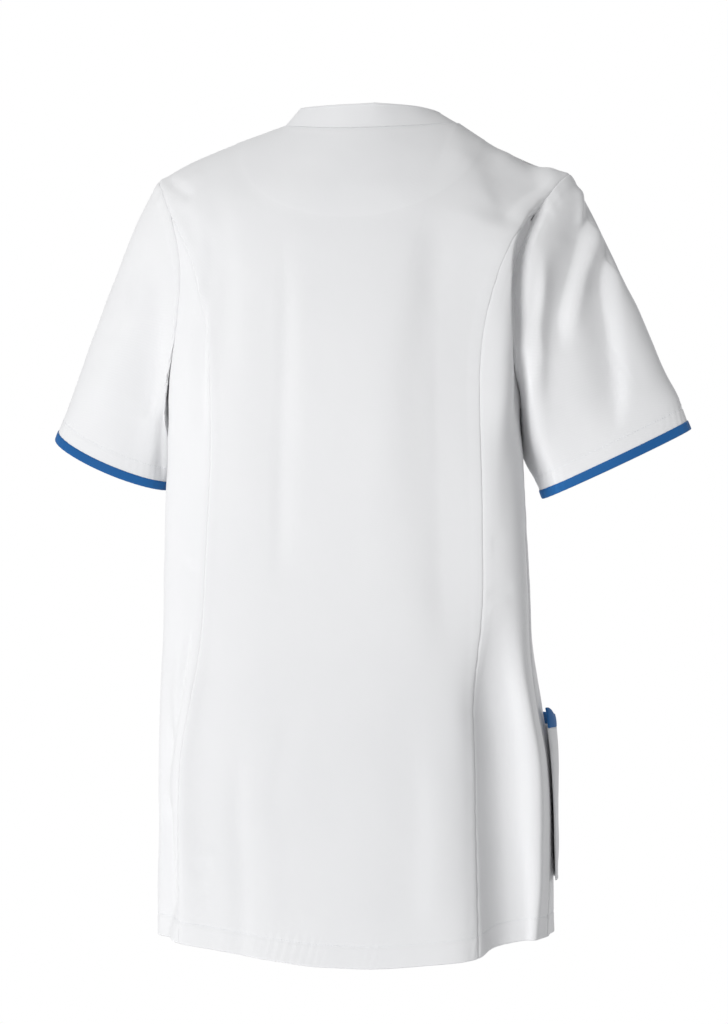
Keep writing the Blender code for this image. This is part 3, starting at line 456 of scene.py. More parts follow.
def bare_ring(angle, z):
    """Points of the ring before folds, from the middle of the back round by the wearer's left."""
    turned = np.radians(angle + along(RINGS, "turn", z))
    s, c = np.sin(turned), np.cos(turned)
    square = np.where(c >= 0, BACK_SQUARE, FRONT_SQUARE)
    deep = np.where(c >= 0, along(RINGS, "back", z), along(RINGS, "front", z))
    x = along(RINGS, "half_width", z) * np.sign(s) * np.abs(s) ** (2 / square)
    y = deep * np.sign(c) * np.abs(c) ** (2 / square)
    below = np.clip((ridge(x) - z) / CROWN_DEPTH, 0.0, 1.0)
    y = y * np.sqrt(1 - (1 - below) ** 2)
    level = np.broadcast_to(z, x.shape)
    return np.stack([x + along(RINGS, "sway", z), y + along(RINGS, "mid", z), level], axis=-1)


def body_point(angle, z):
    """Points of the garment's outer surface, with its folds and with the hem raised towards the sides."""
    angle, z = np.broadcast_arrays(np.asarray(angle, dtype=float), np.asarray(z, dtype=float))
    point = bare_ring(angle, z)
    run = bare_ring(angle + 1, z) - bare_ring(angle - 1, z)
    out = unit(np.stack([-run[..., 1], run[..., 0], np.zeros_like(z)], axis=-1))
    point = point + out * fold_height(angle, z)[..., None]
    round_angle = (angle + 180) % 360 - 180
    left = along(HEM_RISE, "left", np.abs(round_angle))
    right = along(HEM_RISE, "right", np.abs(round_angle))
    point[..., 2] += np.where(round_angle > 0, left, right) * ease(z / HEM_Z * 2 - 1)
    return point


def armhole_angle(face, z):
    square = BACK_SQUARE if face == "back" else FRONT_SQUARE
    tip = angle_at(SHOULDER_HALF, -SHOULDER_DROP, square)
    near_tip = ease(1 - (-SHOULDER_DROP - z) / 0.02)
    return along(ARMHOLE, face, z) + (tip - ARMHOLE[face][0]) * near_tip


def princess_angle(side, z):
    return angle_at(along(PRINCESS, "left" if side > 0 else "right", z), z, BACK_SQUARE)


def spread(start, end, count, crowd=1.0):
    return mix(start, end, (np.arange(count + 1) / count) ** crowd)


# Heights of the points along each seam. Pieces that meet there share them.
TIP_Z = -SHOULDER_DROP
TOP_LEVELS = spread(TIP_Z, PRINCESS_TOP_Z, TOP_ROWS, 1.4)
PRINCESS_LEVELS = spread(PRINCESS_TOP_Z, -0.256, ARMHOLE_ROWS)
HEM_LEVELS = spread(HEM_Z + HEM_BAND, HEM_Z, HEM_ROWS)
PRINCESS_LOWER = np.append(spread(-0.256, HEM_LEVELS[0], LOWER_ROWS), HEM_LEVELS[1:])
SIDE_LOWER = np.append(spread(ARMPIT_Z, HEM_LEVELS[0], LOWER_ROWS), HEM_LEVELS[1:])
ARMHOLE_SHARES = np.interp(
    np.arange(ARMHOLE_ROWS + 1) / ARMHOLE_ROWS,
    np.arange(10) / 9,
    (0.0, 0.16, 0.32, 0.48, 0.62, 0.75, 0.855, 0.93, 0.98, 1.0),
)
BACK_ARMHOLE_LEVELS = mix(PRINCESS_TOP_Z - PRINCESS_STEP, ARMPIT_Z, ARMHOLE_SHARES)
FRONT_ARMHOLE_LEVELS = np.append(TOP_LEVELS[:-1], mix(PRINCESS_TOP_Z, ARMPIT_Z, ARMHOLE_SHARES))
CENTRE_EDGE = np.concatenate([TOP_LEVELS, PRINCESS_LEVELS[1:], PRINCESS_LOWER[1:]])
SIDE_PRINCESS_EDGE = np.append(PRINCESS_LEVELS, PRINCESS_LOWER[1:])
SIDE_SEAM_EDGE = np.append(BACK_ARMHOLE_LEVELS, SIDE_LOWER[1:])
FRONT_EDGE = np.append(FRONT_ARMHOLE_LEVELS, SIDE_LOWER[1:])


def neck_z(x):
    return -NECK_BACK_DROP * (1 - (x / NECK_HALF) ** 2)


def v_z(x):
    share = 1 - np.abs(x) / NECK_HALF
    return -V_DEPTH * (share + 0.22 * share * (1 - share))


def top_edge(face):
    """The upper edge of a panel in the order of its columns, as angles from the face's middle and heights."""
    square = BACK_SQUARE if face == "back" else FRONT_SQUARE
    near = SHOULDER_HALF - np.array([0.0, 0.0006, 0.0012, 0.0019, 0.0028, 0.0040, 0.0056])
    shoulder = np.append(near, spread(SHOULDER_HALF - 0.0080, NECK_HALF, SHOULDER_COLUMNS, 1.1))
    if face == "back":
        neck = NECK_HALF * np.sin(np.radians(spread(90, 0, NECK_COLUMNS)))
    else:
        neck = spread(NECK_HALF, 0, NECK_COLUMNS)

    def half(side):
        found = [(side, x, float(ridge(side * x))) for x in shoulder]
        found += [(side, x, float(neck_z(x) if face == "back" else v_z(x))) for x in neck[1:]]
        return found

    first = -1 if face == "back" else 1
    places = half(first) + half(-first)[-2::-1]
    turn = 1 if face == "back" else -1
    angles = np.array([turn * side * angle_at(x, z, square) for side, x, z in places])
    return angles, np.array([z for _, _, z in places])


SHOULDER_POINTS = SHOULDER_COLUMNS + 7


def panel_grid(top, levels, edge_angle, middle):
    """A panel that hangs from its top edge: each column keeps its share of the way across."""
    angles, top_z = top
    side = np.where(angles < 0, -1, 1)
    first = float(edge_angle(1, levels[:1])[0])
    share = (np.abs(angles) / first)[None, :]
    down = ((levels - levels[0]) / (HEM_Z - levels[0]))[:, None]
    evened = ease((levels[0] - levels) / (levels[0] - EVEN_Z))
    turned = np.zeros((len(levels), len(angles)))
    for s in (1, -1):
        reach = edge_angle(s, levels)
        even = np.where(levels > EVEN_Z, mix(first, edge_angle(s, np.array([EVEN_Z]))[0], evened), reach)
        part = share * (even[:, None] + (reach - even)[:, None] * share**EDGE_POWER)
        turned = np.where(side[None, :] == s, part, turned)
    z = np.where(share > 1 - 1e-9, levels[:, None], mix(top_z[None, :], HEM_Z, down))
    return body_point(middle + side[None, :] * turned, z)


def back_centre_grid():
    def edge_angle(side, level):
        above = level > PRINCESS_TOP_Z - 1e-9
        return np.where(above, armhole_angle("back", level), princess_angle(side, level))

    return panel_grid(top_edge("back"), CENTRE_EDGE, edge_angle, 0.0)


def front_grid():
    def edge_angle(side, level):
        return np.where(level > ARMPIT_Z, armhole_angle("front", level), 90.0)

    return panel_grid(top_edge("front"), FRONT_EDGE, edge_angle, 180.0)


def back_side_grid(side):
    """From the princess seam round to the armhole and side seam. Its first row runs down the armhole."""
    shares = (1 - np.cos(np.pi * np.arange(SIDE_COLUMNS + 1) / SIDE_COLUMNS)) / 2
    shares = mix(shares, np.arange(SIDE_COLUMNS + 1) / SIDE_COLUMNS, 0.35)
    near_z, far_z = SIDE_PRINCESS_EDGE, SIDE_SEAM_EDGE
    near = princess_angle(side, near_z)
    near[0] = armhole_angle("back", near_z[:1])[0]
    far = np.where(far_z > ARMPIT_Z, armhole_angle("back", far_z), 90.0)
    z = mix(near_z[:, None], far_z[:, None], shares[None, :])
    angle = mix(near[:, None], far[:, None], shares[None, :])
    angle[0] = armhole_angle("back", z[0])
    grid = body_point(side * angle, z)
    return grid if side > 0 else grid[:, ::-1]


def armhole_ring(side, centre, side_panel, front):
    """The armhole's points, from the shoulder tip down the back and up the front."""
    edge, front_edge = (-1, 0) if side > 0 else (0, -1)
    start = side_panel[0][front_edge]
    armpit = TOP_ROWS + ARMHOLE_ROWS
    return np.concatenate(
        [
            centre[:TOP_ROWS, edge],
            start[None, :],
            side_panel[: ARMHOLE_ROWS + 1, edge],
            front[armpit - 1 : 0 : -1, front_edge],
        ]
    )


def sleeve_axis(sleeve):
    out, ahead = math.radians(sleeve.abduction), math.radians(sleeve.forward)
    lean = (sleeve.side * math.sin(out), -math.cos(out) * math.sin(ahead), -math.cos(out) * math.cos(ahead))
    return unit(np.array(lean))


def cuff_ring(sleeve, shares):
    """Points of the flattened cuff, starting at its outer end and going round by the back."""
    axis = sleeve_axis(sleeve)
    lift = math.radians(sleeve.abduction)
    wide = np.array((sleeve.side * math.cos(lift), 0, math.sin(lift)))
    wide = unit(wide - axis * wide.dot(axis))
    deep = np.cross(axis, wide) * sleeve.side
    if deep[1] < 0:
        deep = -deep
    turn = 2 * np.pi * shares[:, None]
    across = wide * sleeve.half_wide * np.cos(turn)
    return np.array(sleeve.centre) + across + deep * sleeve.half_deep * np.sin(turn)


def sleeve_fold_height(side, share, t):
    total = np.zeros(np.broadcast(share, t).shape)
    for fold in SLEEVE_FOLDS:
        if fold.side != side:
            continue
        run = (t - fold.start) / (fold.end - fold.start)
        off = (share - fold.share - fold.drift * run + 0.5) % 1 - 0.5
        strength = np.where((run > 0) & (run < 1), ease(run * 3) * ease((1 - run) * 3), 0.0)
        total = total + fold.height * strength * np.exp(-((off / fold.width) ** 2))
    return total


def sagged(points, side, shares, t):
    """Points of the sleeve with the sag of the cloth under the arm, which rests against the body's side."""
    size = along(SAG_SHAPE, "size", t) * np.exp(-(((shares - SAG_SHARE) / SAG_WIDTH) ** 2))
    spots = points + np.array((-side * SAG_INWARD[side], -SAG_AHEAD[side], 0)) * size[:, None]
    z = spots[:, 2]
    x = spots[:, 0] - along(RINGS, "sway", z)
    y = spots[:, 1] - along(RINGS, "mid", z)
    square = np.where(y >= 0, BACK_SQUARE, FRONT_SQUARE)
    wide = along(RINGS, "half_width", z)
    deep = np.where(y >= 0, along(RINGS, "back", z), along(RINGS, "front", z))
    out = ((np.abs(x) / wide) ** square + (np.abs(y) / deep) ** square) ** (1 / square)
    clear = 1 + SAG_CLEAR / wide
    push = np.where((z < ARMPIT_Z) & (out < clear), (clear / out - 1) * ease(t * 5), 0.0)
    return spots + np.stack([x, y, 0 * z], axis=-1) * push[:, None]


def sleeve_grid(sleeve, ring):
    """Rows from the armhole to the cuff, each a closed ring of as many points as the armhole has."""
    steps = np.linalg.norm(np.roll(ring, -1, axis=0) - ring, axis=1)
    shares = (np.cumsum(steps) - steps) / steps.sum()
    cuff = cuff_ring(sleeve, shares)
    axis = sleeve_axis(sleeve)
    reach = np.linalg.norm(cuff - ring, axis=1)
    hem = SLEEVE_HEM / reach / CUFF_PULL
    top = np.cos(np.pi * shares) ** 2
    outward = np.array((sleeve.side, 0.0, 0.0)) * (sleeve.cap * top)[:, None]
    leave = outward + axis * (reach * UNDER_PULL)[:, None]
    arrive = axis * (reach * CUFF_PULL)[:, None]
    down = [(n / SLEEVE_ROWS) ** 1.15 * (1 - hem) for n in range(SLEEVE_ROWS + 1)]
    down += [1 - hem * (1 - n / SLEEVE_HEM_ROWS) for n in range(1, SLEEVE_HEM_ROWS + 1)]
    rows = []
    for t in down:
        row = curve(ring, leave, cuff, arrive, t[:, None])
        away = row - row.mean(axis=0)
        away = unit(away - axis * (away @ axis)[:, None])
        row = row + away * sleeve_fold_height(sleeve.side, shares, t)[:, None]
        rows.append(sagged(row, sleeve.side, shares, t))
    return np.array(rows)


def collar_grid(base):
    """Rows of the collar from the neckline up. Near the V each line of points fans towards the mitre."""
    lengths = lengths_of(base)
    total = lengths[-1]
    run = unit(np.gradient(base, lengths, axis=0))
    padded = [np.pad(run[:, n], 6, mode="edge") for n in range(3)]
    soft = np.array([np.convolve(row, np.ones(13) / 13, "valid") for row in padded]).T
    run = unit(soft)

    def at(length):
        length = np.clip(length, 0.0, total)
        here = between(length, lengths, base)
        tangent = unit(between(length, lengths, run))
        inward = unit(np.stack([tangent[..., 1], -tangent[..., 0], np.zeros_like(length)], axis=-1))
        upward = unit(np.cross(inward, tangent))
        share = np.abs(2 * length / total - 1)
        right = length < total / 2
        rise = np.where(right, along(COLLAR, "right_rise", share), along(COLLAR, "rise", share))
        height = np.where(right, along(COLLAR, "right_height", share), along(COLLAR, "height", share))
        rise, height = np.radians(rise)[..., None], height[..., None]
        return here + (inward * np.cos(rise) + upward * np.sin(rise)) * height

    middle = base[0][0]

    def mitre(end, way):
        """How far along a leg of the V the band has to start for its upper edge to reach the middle."""
        tries = np.arange(400) * 0.0005
        side = np.sign(at(np.array([end + way * total / 4]))[0, 0] - middle)
        met = (at(end + way * tries)[:, 0] - middle) * side >= 0
        return tries[np.argmax(met)]

    starts = mitre(0.0, 1), mitre(total, -1)
    from_end = np.minimum(lengths, total - lengths)
    slid = np.where(lengths < total / 2, starts[0], -starts[1]) * (1 - ease(from_end / COLLAR_FAN))
    tops = at(lengths + slid)
    shares = spread(0, 1, COLLAR_ROWS)[:, None, None]
    grid = base[None] * (1 - shares) + tops[None] * shares
    for row in grid:
        mitred = (row[0] + row[-1]) / 2
        mitred[0] = middle
        row[0] = row[-1] = mitred
    return grid


def rim_z(across):
    return POCKET_RIM_Z + RIM_RISE * (1 - ease(across / RIM_RISE_SHARE))


def band_z(across):
    return rim_z(across) - BAND_HEIGHT - BAND_EXTRA * (1 - ease(across / RIM_RISE_SHARE))


def pocket_grid(side, low, high, rows, columns, lift):
    """A pocket's points: the front's own points under it, moved out. Columns run from the side seam forward."""
    across = spread(0, 1, columns, 1.2)[None, :]
    z = mix(low(across), high(across), spread(0, 1, rows)[:, None])
    across = np.broadcast_to(across, z.shape)
    angle = side * mix(POCKET_SEAM_ANGLE, POCKET_FRONT_ANGLE, across)
    up = (z - POCKET_LOW_Z) / (POCKET_RIM_Z - POCKET_LOW_Z)
    run = body_point(angle + 0.5, z) - body_point(angle - 0.5, z)
    climb = body_point(angle, z + 0.002) - body_point(angle, z - 0.002)
    normal = unit(np.cross(run, climb))
    here = body_point(angle, z)
    middle = np.stack([along(RINGS, "sway", z), along(RINGS, "mid", z), z], axis=-1)
    normal = normal * np.sign((normal * (here - middle)).sum(axis=-1))[..., None]
    bulge = POCKET_BULGE * np.abs(np.sin(np.pi * across)) ** 0.55
    bulge = bulge * mix(0.25, 1.0, ease(up * 1.4 - 0.4)) * ease(up * 4)
    grid = here + normal * (POCKET_REST + bulge + lift)[..., None]
    return grid if side > 0 else grid[:, ::-1]


def grid_normals(grid, ring):
    """The unit normal at each point of a grid, averaged from the faces round it."""
    right = np.roll(grid, -1, axis=1) if ring else grid[:, 1:]
    here = grid if ring else grid[:, :-1]
    face = np.cross(right[1:] - here[:-1], here[1:] - right[:-1])
    total = np.zeros_like(grid)
    if ring:
        for part in (face, np.roll(face, 1, axis=1)):
            total[:-1] += part
            total[1:] += part
    else:
        for rows in (slice(None, -1), slice(1, None)):
            total[rows, :-1] += face
            total[rows, 1:] += face
    return unit(total)


class Cloth:
    """One cut piece of cloth as a grid of outer points, with the distance of each from the piece's edges."""

    def __init__(self, name, grid, ring=False, outward=None):
        self.name, self.grid, self.ring = name, grid, ring
        normals = grid_normals(grid, ring)
        self.turn = 1 if outward(normals, grid) else -1
        self.normals = normals * self.turn
        across = np.linalg.norm(np.diff(grid, axis=1), axis=2)
        down = np.linalg.norm(np.diff(grid, axis=0), axis=2)
        zero_column, zero_row = np.zeros((len(grid), 1)), np.zeros((1, grid.shape[1]))
        self.first = np.concatenate([zero_column, np.cumsum(across, axis=1)], axis=1)
        self.last = self.first[:, -1:] - self.first
        self.top = np.concatenate([zero_row, np.cumsum(down, axis=0)])
        self.bottom = self.top[-1:] - self.top
        self.raised = np.zeros(grid.shape[:2])

    def settle(self):
        """Moves each point out along its normal by what has been raised there."""
        self.grid = self.grid + self.normals * self.raised[..., None]
        self.raised = np.zeros_like(self.raised)

    def border(self):
        """Grid places round the piece, as loops."""
        last_row, last = self.grid.shape[0] - 1, self.grid.shape[1] - 1
        if self.ring:
            return [[(0, i) for i in range(last + 1)], [(last_row, i) for i in range(last, -1, -1)]]
        loop = [(0, i) for i in range(last)] + [(j, last) for j in range(last_row)]
        loop += [(last_row, i) for i in range(last, 0, -1)] + [(j, 0) for j in range(last_row, 0, -1)]
        return [loop]


def seam(distance, pressed):
    """A sewn edge: the cloth dips into the seam, and lies a little higher over the allowance pressed under it."""
    over = pressed * (1 - ease((distance - PRESSED_WIDTH + 0.002) / 0.004))
    return over - SEAM_SINK * np.exp(-((distance / 0.0013) ** 2))


def stitched(distance, at, depth=0.0005, width=0.0009):
    return -depth * np.exp(-(((distance - at) / width) ** 2))


def pucker(run, period, seed):
    """A wandering ripple along a line of sewing, between about -1 and 1."""
    wander = 0.9 * np.sin(run / 0.023 + seed) + 0.7 * np.sin(run / 0.0091 + 2.3 * seed)
    strength = 0.55 + 0.25 * np.sin(run / 0.031 + 1.7 * seed) + 0.2 * np.sin(run / 0.0127 + 0.6 * seed)
    return strength * np.sin(2 * np.pi * run / period + wander)


VIEWS = {"back": VIEW_AZIMUTH, "front": 0.0, "left": 90.0, "right": 270.0}


def seen_from(face, points, normals):
    """Metres to the right and height as seen from one side, and how squarely each point faces that side."""
    turn = math.radians(VIEWS[face])
    toward = np.array((math.sin(turn), -math.cos(turn), 0.0))
    right = np.cross((0, 0, 1), toward)
    depth = points @ toward
    across, up = points @ right, points[..., 2]
    if face == "back":
        scale = VIEW_DISTANCE / (VIEW_DISTANCE - depth)
        across = across * scale
        up = VIEW_Z + (up - VIEW_Z) * scale
    return across, up, ease((normals @ toward) * 4 + 0.6)


def smooth_path(path, count=28):
    """A curve through a crease's few points, as many short legs."""
    at = lengths_of(path)
    at = at / at[-1]
    slopes = np.gradient(path, at, axis=0)
    share = np.linspace(0, 1, count + 1)
    i = np.clip(np.searchsorted(at, share, side="right") - 1, 0, len(at) - 2)
    step = (at[i + 1] - at[i])[:, None]
    t = (share - at[i])[:, None] / step
    return curve(path[i], slopes[i] * step, path[i + 1], slopes[i + 1] * step, t)


def crease_height(points, normals):
    total = np.zeros(points.shape[:-1])
    for face, creases in CREASES.items():
        across, up, facing = seen_from(face, points, normals)
        for crease in creases:
            path = smooth_path(np.array(crease.path) / 1000)
            height, wide_left, wide_right = np.array(crease[:3]) / 1000
            legs = np.diff(path, axis=0)
            lengths = np.linalg.norm(legs, axis=1)
            reach = 3 * max(wide_left, wide_right)
            low, high = path.min(axis=0) - reach, path.max(axis=0) + reach
            near = (across > low[0]) & (across < high[0]) & (up > low[1]) & (up < high[1]) & (facing > 0)
            if not near.any():
                continue
            spot = np.stack([across[near], up[near]], axis=-1)[:, None, :] - path[None, :-1]
            run = np.clip((spot * legs).sum(axis=-1) / lengths**2, 0, 1)
            off = spot - legs * run[..., None]
            gap = np.linalg.norm(off, axis=-1)
            n = np.argmin(gap, axis=1)
            pick = np.arange(len(n))
            steep = abs(path[-1] - path[0])[1] >= abs(path[-1] - path[0])[0]
            lean = off[pick, n, 0] if steep else off[pick, n, 1]
            width = np.where(lean < 0, wide_left, wide_right)
            share = (n + run[pick, n]) / len(lengths)
            ends = ease(np.minimum(share, 1 - share) * 4)
            total[near] += height * ends * np.exp(-((gap[pick, n] / width) ** 2)) * facing[near]
    return total


def uneven(points, size, seed):
    """Smooth unevenness of the cloth between about -1 and 1."""
    flat = points.reshape(-1, 3)
    shift = Vector((seed * 3.1, seed * 1.7, seed * 5.3))
    return np.array([noise.noise(Vector(p) / size + shift) for p in flat]).reshape(points.shape[:-1])


def join_borders(cloths):
    """Pieces that meet share their edge points and their normals there."""
    shared = {}
    for cloth in cloths:
        for loop in cloth.border():
            for j, i in loop:
                key = tuple(np.round(cloth.plain[j, i] * 1e5).astype(int))
                shared.setdefault(key, []).append((cloth, j, i))
    return [places for places in shared.values() if len(places) > 1]


def shell(cloth, wall, rounded=()):
    """Closes a grid into a thin shell. wall is the thickness at each point, and rounded names soft free edges."""
    height, width = cloth.grid.shape[:2]
    outer = cloth.grid.reshape(-1, 3)
    inner = (cloth.grid - cloth.normals * wall[..., None]).reshape(-1, 3)
    count = len(outer)
    index = np.arange(count).reshape(height, width)
    right = np.roll(index, -1, axis=1) if cloth.ring else index[:, 1:]
    here = index if cloth.ring else index[:, :-1]
    quads = np.stack([here[:-1], right[:-1], right[1:], here[1:]], axis=-1).reshape(-1, 4)
    points = [outer, inner]
    faces = [quads, quads[:, ::-1] + count]
    total = 2 * count
    edges = {
        "top": (index[0], cloth.grid[0] - cloth.grid[1]),
        "bottom": (index[-1][::-1], (cloth.grid[-1] - cloth.grid[-2])[::-1]),
    }
    if not cloth.ring:
        edges["first"] = (index[::-1, 0], (cloth.grid[:, 0] - cloth.grid[:, 1])[::-1])
        edges["last"] = (index[:, -1], cloth.grid[:, -1] - cloth.grid[:, -2])
    for name, (loop, out) in edges.items():
        a = np.append(loop, loop[0]) if cloth.ring else loop
        if name in rounded:
            puff = unit(out) * (wall.reshape(-1)[loop] * 0.5)[:, None]
            middle = (outer[loop] + inner[loop]) / 2 + puff
            m = total + np.arange(len(loop))
            m = np.append(m, m[0]) if cloth.ring else m
            points.append(middle)
            total += len(loop)
            faces.append(np.stack([a[1:], a[:-1], m[:-1], m[1:]], axis=-1))
            faces.append(np.stack([m[1:], m[:-1], a[:-1] + count, a[1:] + count], axis=-1))
        else:
            faces.append(np.stack([a[1:], a[:-1], a[:-1] + count, a[1:] + count], axis=-1))
    faces = np.concatenate(faces)
    if cloth.turn < 0:
        faces = faces[:, ::-1]
    uv = np.stack([cloth.first, cloth.top], axis=-1).reshape(-1, 2)
    return np.concatenate(points), faces, uv


def build(name, points, faces, look, uv=None):
    """An object of that name from its points and faces, with the cloth's own directions as its map."""
    mesh = bpy.data.meshes.new(name)
    mesh.from_pydata(points.tolist(), [], [tuple(face) for face in faces.tolist()])
    mesh.polygons.foreach_set("use_smooth", [True] * len(mesh.polygons))
    if uv is not None:
        whole = np.zeros((len(points), 2))
        whole[: len(uv)] = uv
        if len(points) >= 2 * len(uv):
            whole[len(uv) : 2 * len(uv)] = uv
        corners = np.zeros(len(mesh.loops), dtype=np.int32)
        mesh.loops.foreach_get("vertex_index", corners)
        layer = mesh.uv_layers.new(name="cloth")
        layer.data.foreach_set("uv", (whole[corners] * 10).ravel())
    mesh.materials.append(look)
    made = bpy.data.objects.new(name, mesh)
    bpy.context.scene.collection.objects.link(made)
    mesh.validate()
    return made


def wire(tree, source, target):
    tree.links.new(source, target)


def cloth_look(name, light, dark, rough, sheen, facing=False, thread_mm=0.56, relief=1.0):
    """Woven twill: two crossing sets of threads and a diagonal line, with slubs, soft mottling and lint. With
    facing, the colour outside the back neck facing's arc is painted shade.
    """
    look = bpy.data.materials.new(name)
    look.use_nodes = True
    tree = look.node_tree
    surface = tree.nodes["Principled BSDF"]
    surface.inputs["Metallic"].default_value = 0.0
    surface.inputs["Sheen Weight"].default_value = sheen
    surface.inputs["Sheen Roughness"].default_value = 0.45
    surface.inputs["Specular IOR Level"].default_value = 0.20
    surface.inputs["Diffuse Roughness"].default_value = 0.7

    def node(kind, **values):
        made = tree.nodes.new(kind)
        for key, value in values.items():
            setattr(made, key, value)
        return made

    cloth_map = node("ShaderNodeUVMap", uv_map="cloth")
    place = node("ShaderNodeTexCoord")

    def wave(direction, period_mm, distortion):
        made = node("ShaderNodeTexWave", wave_type="BANDS", bands_direction=direction, wave_profile="SIN")
        made.inputs["Scale"].default_value = 0.3142 / (period_mm / 100)
        made.inputs["Distortion"].default_value = distortion
        made.inputs["Detail"].default_value = 1.0
        made.inputs["Detail Scale"].default_value = 2.0
        wire(tree, cloth_map.outputs["UV"], made.inputs["Vector"])
        return made.outputs["Fac"]

    def cloud(scale, detail, vector=None):
        made = node("ShaderNodeTexNoise")
        made.inputs["Scale"].default_value = scale
        made.inputs["Detail"].default_value = detail
        wire(tree, vector or place.outputs["Object"], made.inputs["Vector"])
        return made.outputs["Fac"]

    def maths(operation, a, b):
        made = node("ShaderNodeMath", operation=operation)
        for n, value in enumerate((a, b)):
            if isinstance(value, (int, float)):
                made.inputs[n].default_value = value
            else:
                wire(tree, value, made.inputs[n])
        return made.outputs["Value"]

    def blend(share, a, b):
        made = node("ShaderNodeMix", data_type="RGBA")
        wire(tree, share, made.inputs["Factor"])
        for key, value in (("A", a), ("B", b)):
            socket = next(s for s in made.inputs if s.name == key and s.type == "RGBA")
            if isinstance(value, tuple):
                socket.default_value = (*value, 1.0)
            else:
                wire(tree, value, socket)
        return next(s for s in made.outputs if s.type == "RGBA")

    def span(value, low, high, to_low=0.0, to_high=1.0):
        made = node("ShaderNodeMapRange", clamp=True)
        for key, given in (("From Min", low), ("From Max", high), ("To Min", to_low), ("To Max", to_high)):
            made.inputs[key].default_value = given
        wire(tree, value, made.inputs["Value"])
        return made.outputs["Result"]

    weft = wave("X", thread_mm, 0.5)
    warp = wave("Y", thread_mm, 0.5)
    twill = wave("DIAGONAL", thread_mm * 1.9, 0.8)
    weave = maths("ADD", maths("MULTIPLY", weft, 0.25), maths("MULTIPLY", warp, 0.25))
    weave = maths("ADD", weave, maths("MULTIPLY", twill, 0.5))
    slub = cloud(42.0, 3.0, cloth_map.outputs["UV"])
    mottle = cloud(16.0, 4.0)
    broad = cloud(5.0, 2.0)

    colour = blend(span(broad, 0.35, 0.65), dark, light)
    colour = blend(span(mottle, 0.35, 0.7, 0.0, 0.35), colour, light)
    colour = blend(span(weave, 0.2, 0.8, 0.0, 0.10), colour, tuple(c * 0.86 for c in dark))
    # Painted shade: outside the facing's oval and below its top, the colour is blended towards a darker white,
    # standing in for the shaded inside seen through one layer of cloth
    if facing:
        split = node("ShaderNodeSeparateXYZ")
        wire(tree, place.outputs["Object"], split.inputs["Vector"])
        x = maths("DIVIDE", maths("SUBTRACT", split.outputs["X"], FACING_X), FACING_HALF)
        z = maths("DIVIDE", maths("SUBTRACT", split.outputs["Z"], FACING_TOP_Z), FACING_DROP)
        off = maths("SQRT", maths("ADD", maths("MULTIPLY", x, x), maths("MULTIPLY", z, z)), 0.0)
        upper = span(split.outputs["Z"], FACING_TOP_Z - 0.012, FACING_TOP_Z + 0.004, 0.0, 1.0)
        inside = maths("MAXIMUM", span(off, 1.008, 0.992), upper)
        shade = maths("MULTIPLY", maths("SUBTRACT", 1.0, inside), FACING_SHADE)
        colour = blend(shade, colour, tuple(c * 0.90 for c in dark))
    wire(tree, colour, surface.inputs["Base Color"])
    wire(tree, span(mottle, 0.3, 0.7, rough - 0.05, rough + 0.05), surface.inputs["Roughness"])

    height = maths("ADD", maths("MULTIPLY", weave, 0.6), maths("MULTIPLY", slub, 0.8))
    bump = node("ShaderNodeBump")
    bump.inputs["Strength"].default_value = 0.35 * relief
    bump.inputs["Distance"].default_value = 0.00012
    wire(tree, height, bump.inputs["Height"])
    wire(tree, bump.outputs["Normal"], surface.inputs["Normal"])
    return look


WHITE_LIGHT, WHITE_DARK = (0.872, 0.874, 0.880), (0.845, 0.848, 0.856)
BLUE_LIGHT, BLUE_DARK = (0.022, 0.160, 0.440), (0.014, 0.110, 0.330)
white = cloth_look("tunic_white_twill", WHITE_LIGHT, WHITE_DARK, 0.86, 0.12)
white_back_painted_shade = cloth_look("tunic_white_twill_back", WHITE_LIGHT, WHITE_DARK, 0.86, 0.12, facing=True)
blue = cloth_look("tunic_blue_binding", BLUE_LIGHT, BLUE_DARK, 0.72, 0.10, thread_mm=0.5, relief=1.3)
thread = cloth_look("tunic_thread", (0.88, 0.89, 0.90), (0.84, 0.85, 0.87), 0.60, 0.05, thread_mm=0.4)


def panel_out(normals, grid):
    j, i = grid.shape[0] // 2, grid.shape[1] // 2
    return normals[j, i, 0] * grid[j, i, 0] + normals[j, i, 1] * grid[j, i, 1] > 0


def sleeve_out(normals, grid):
    return normals[-1, 0] @ (grid[-1, 0] - grid[-1].mean(axis=0)) > 0


centre_grid, front_panel = back_centre_grid(), front_grid()
side_grids = {side: back_side_grid(side) for side in (1, -1)}
back_centre = Cloth("back_centre", centre_grid, outward=panel_out)
front = Cloth("front", front_panel, outward=panel_out)
sides = {
    1: Cloth("back_side_left", side_grids[1], outward=panel_out),
    -1: Cloth("back_side_right", side_grids[-1], outward=panel_out),
}
sleeves = {}
for sleeve in SLEEVES:
    ring = armhole_ring(sleeve.side, centre_grid, side_grids[sleeve.side], front_panel)
    sleeves[sleeve.side] = Cloth("sleeve_" + sleeve.name, sleeve_grid(sleeve, ring), True, sleeve_out)

NECK_PART = slice(SHOULDER_POINTS, SHOULDER_POINTS + 2 * NECK_COLUMNS + 1)
back_neck, v_neck = centre_grid[0][NECK_PART], front_panel[0][NECK_PART]
neckline = np.concatenate([v_neck[NECK_COLUMNS:], back_neck[1:], v_neck[1 : NECK_COLUMNS + 1]])
collar = Cloth("collar", collar_grid(neckline), outward=lambda n, g: n[1, len(neckline) // 2, 1] > 0)

main_cloths = [back_centre, sides[1], sides[-1], front, collar, sleeves[1], sleeves[-1]]
for cloth in main_cloths:
    cloth.plain = cloth.grid.copy()


def facing_oval(points):
    """1 along the facing's arc, and less inside it."""
    return np.hypot((points[..., 0] - FACING_X) / FACING_HALF, (points[..., 2] - FACING_TOP_Z) / FACING_DROP)


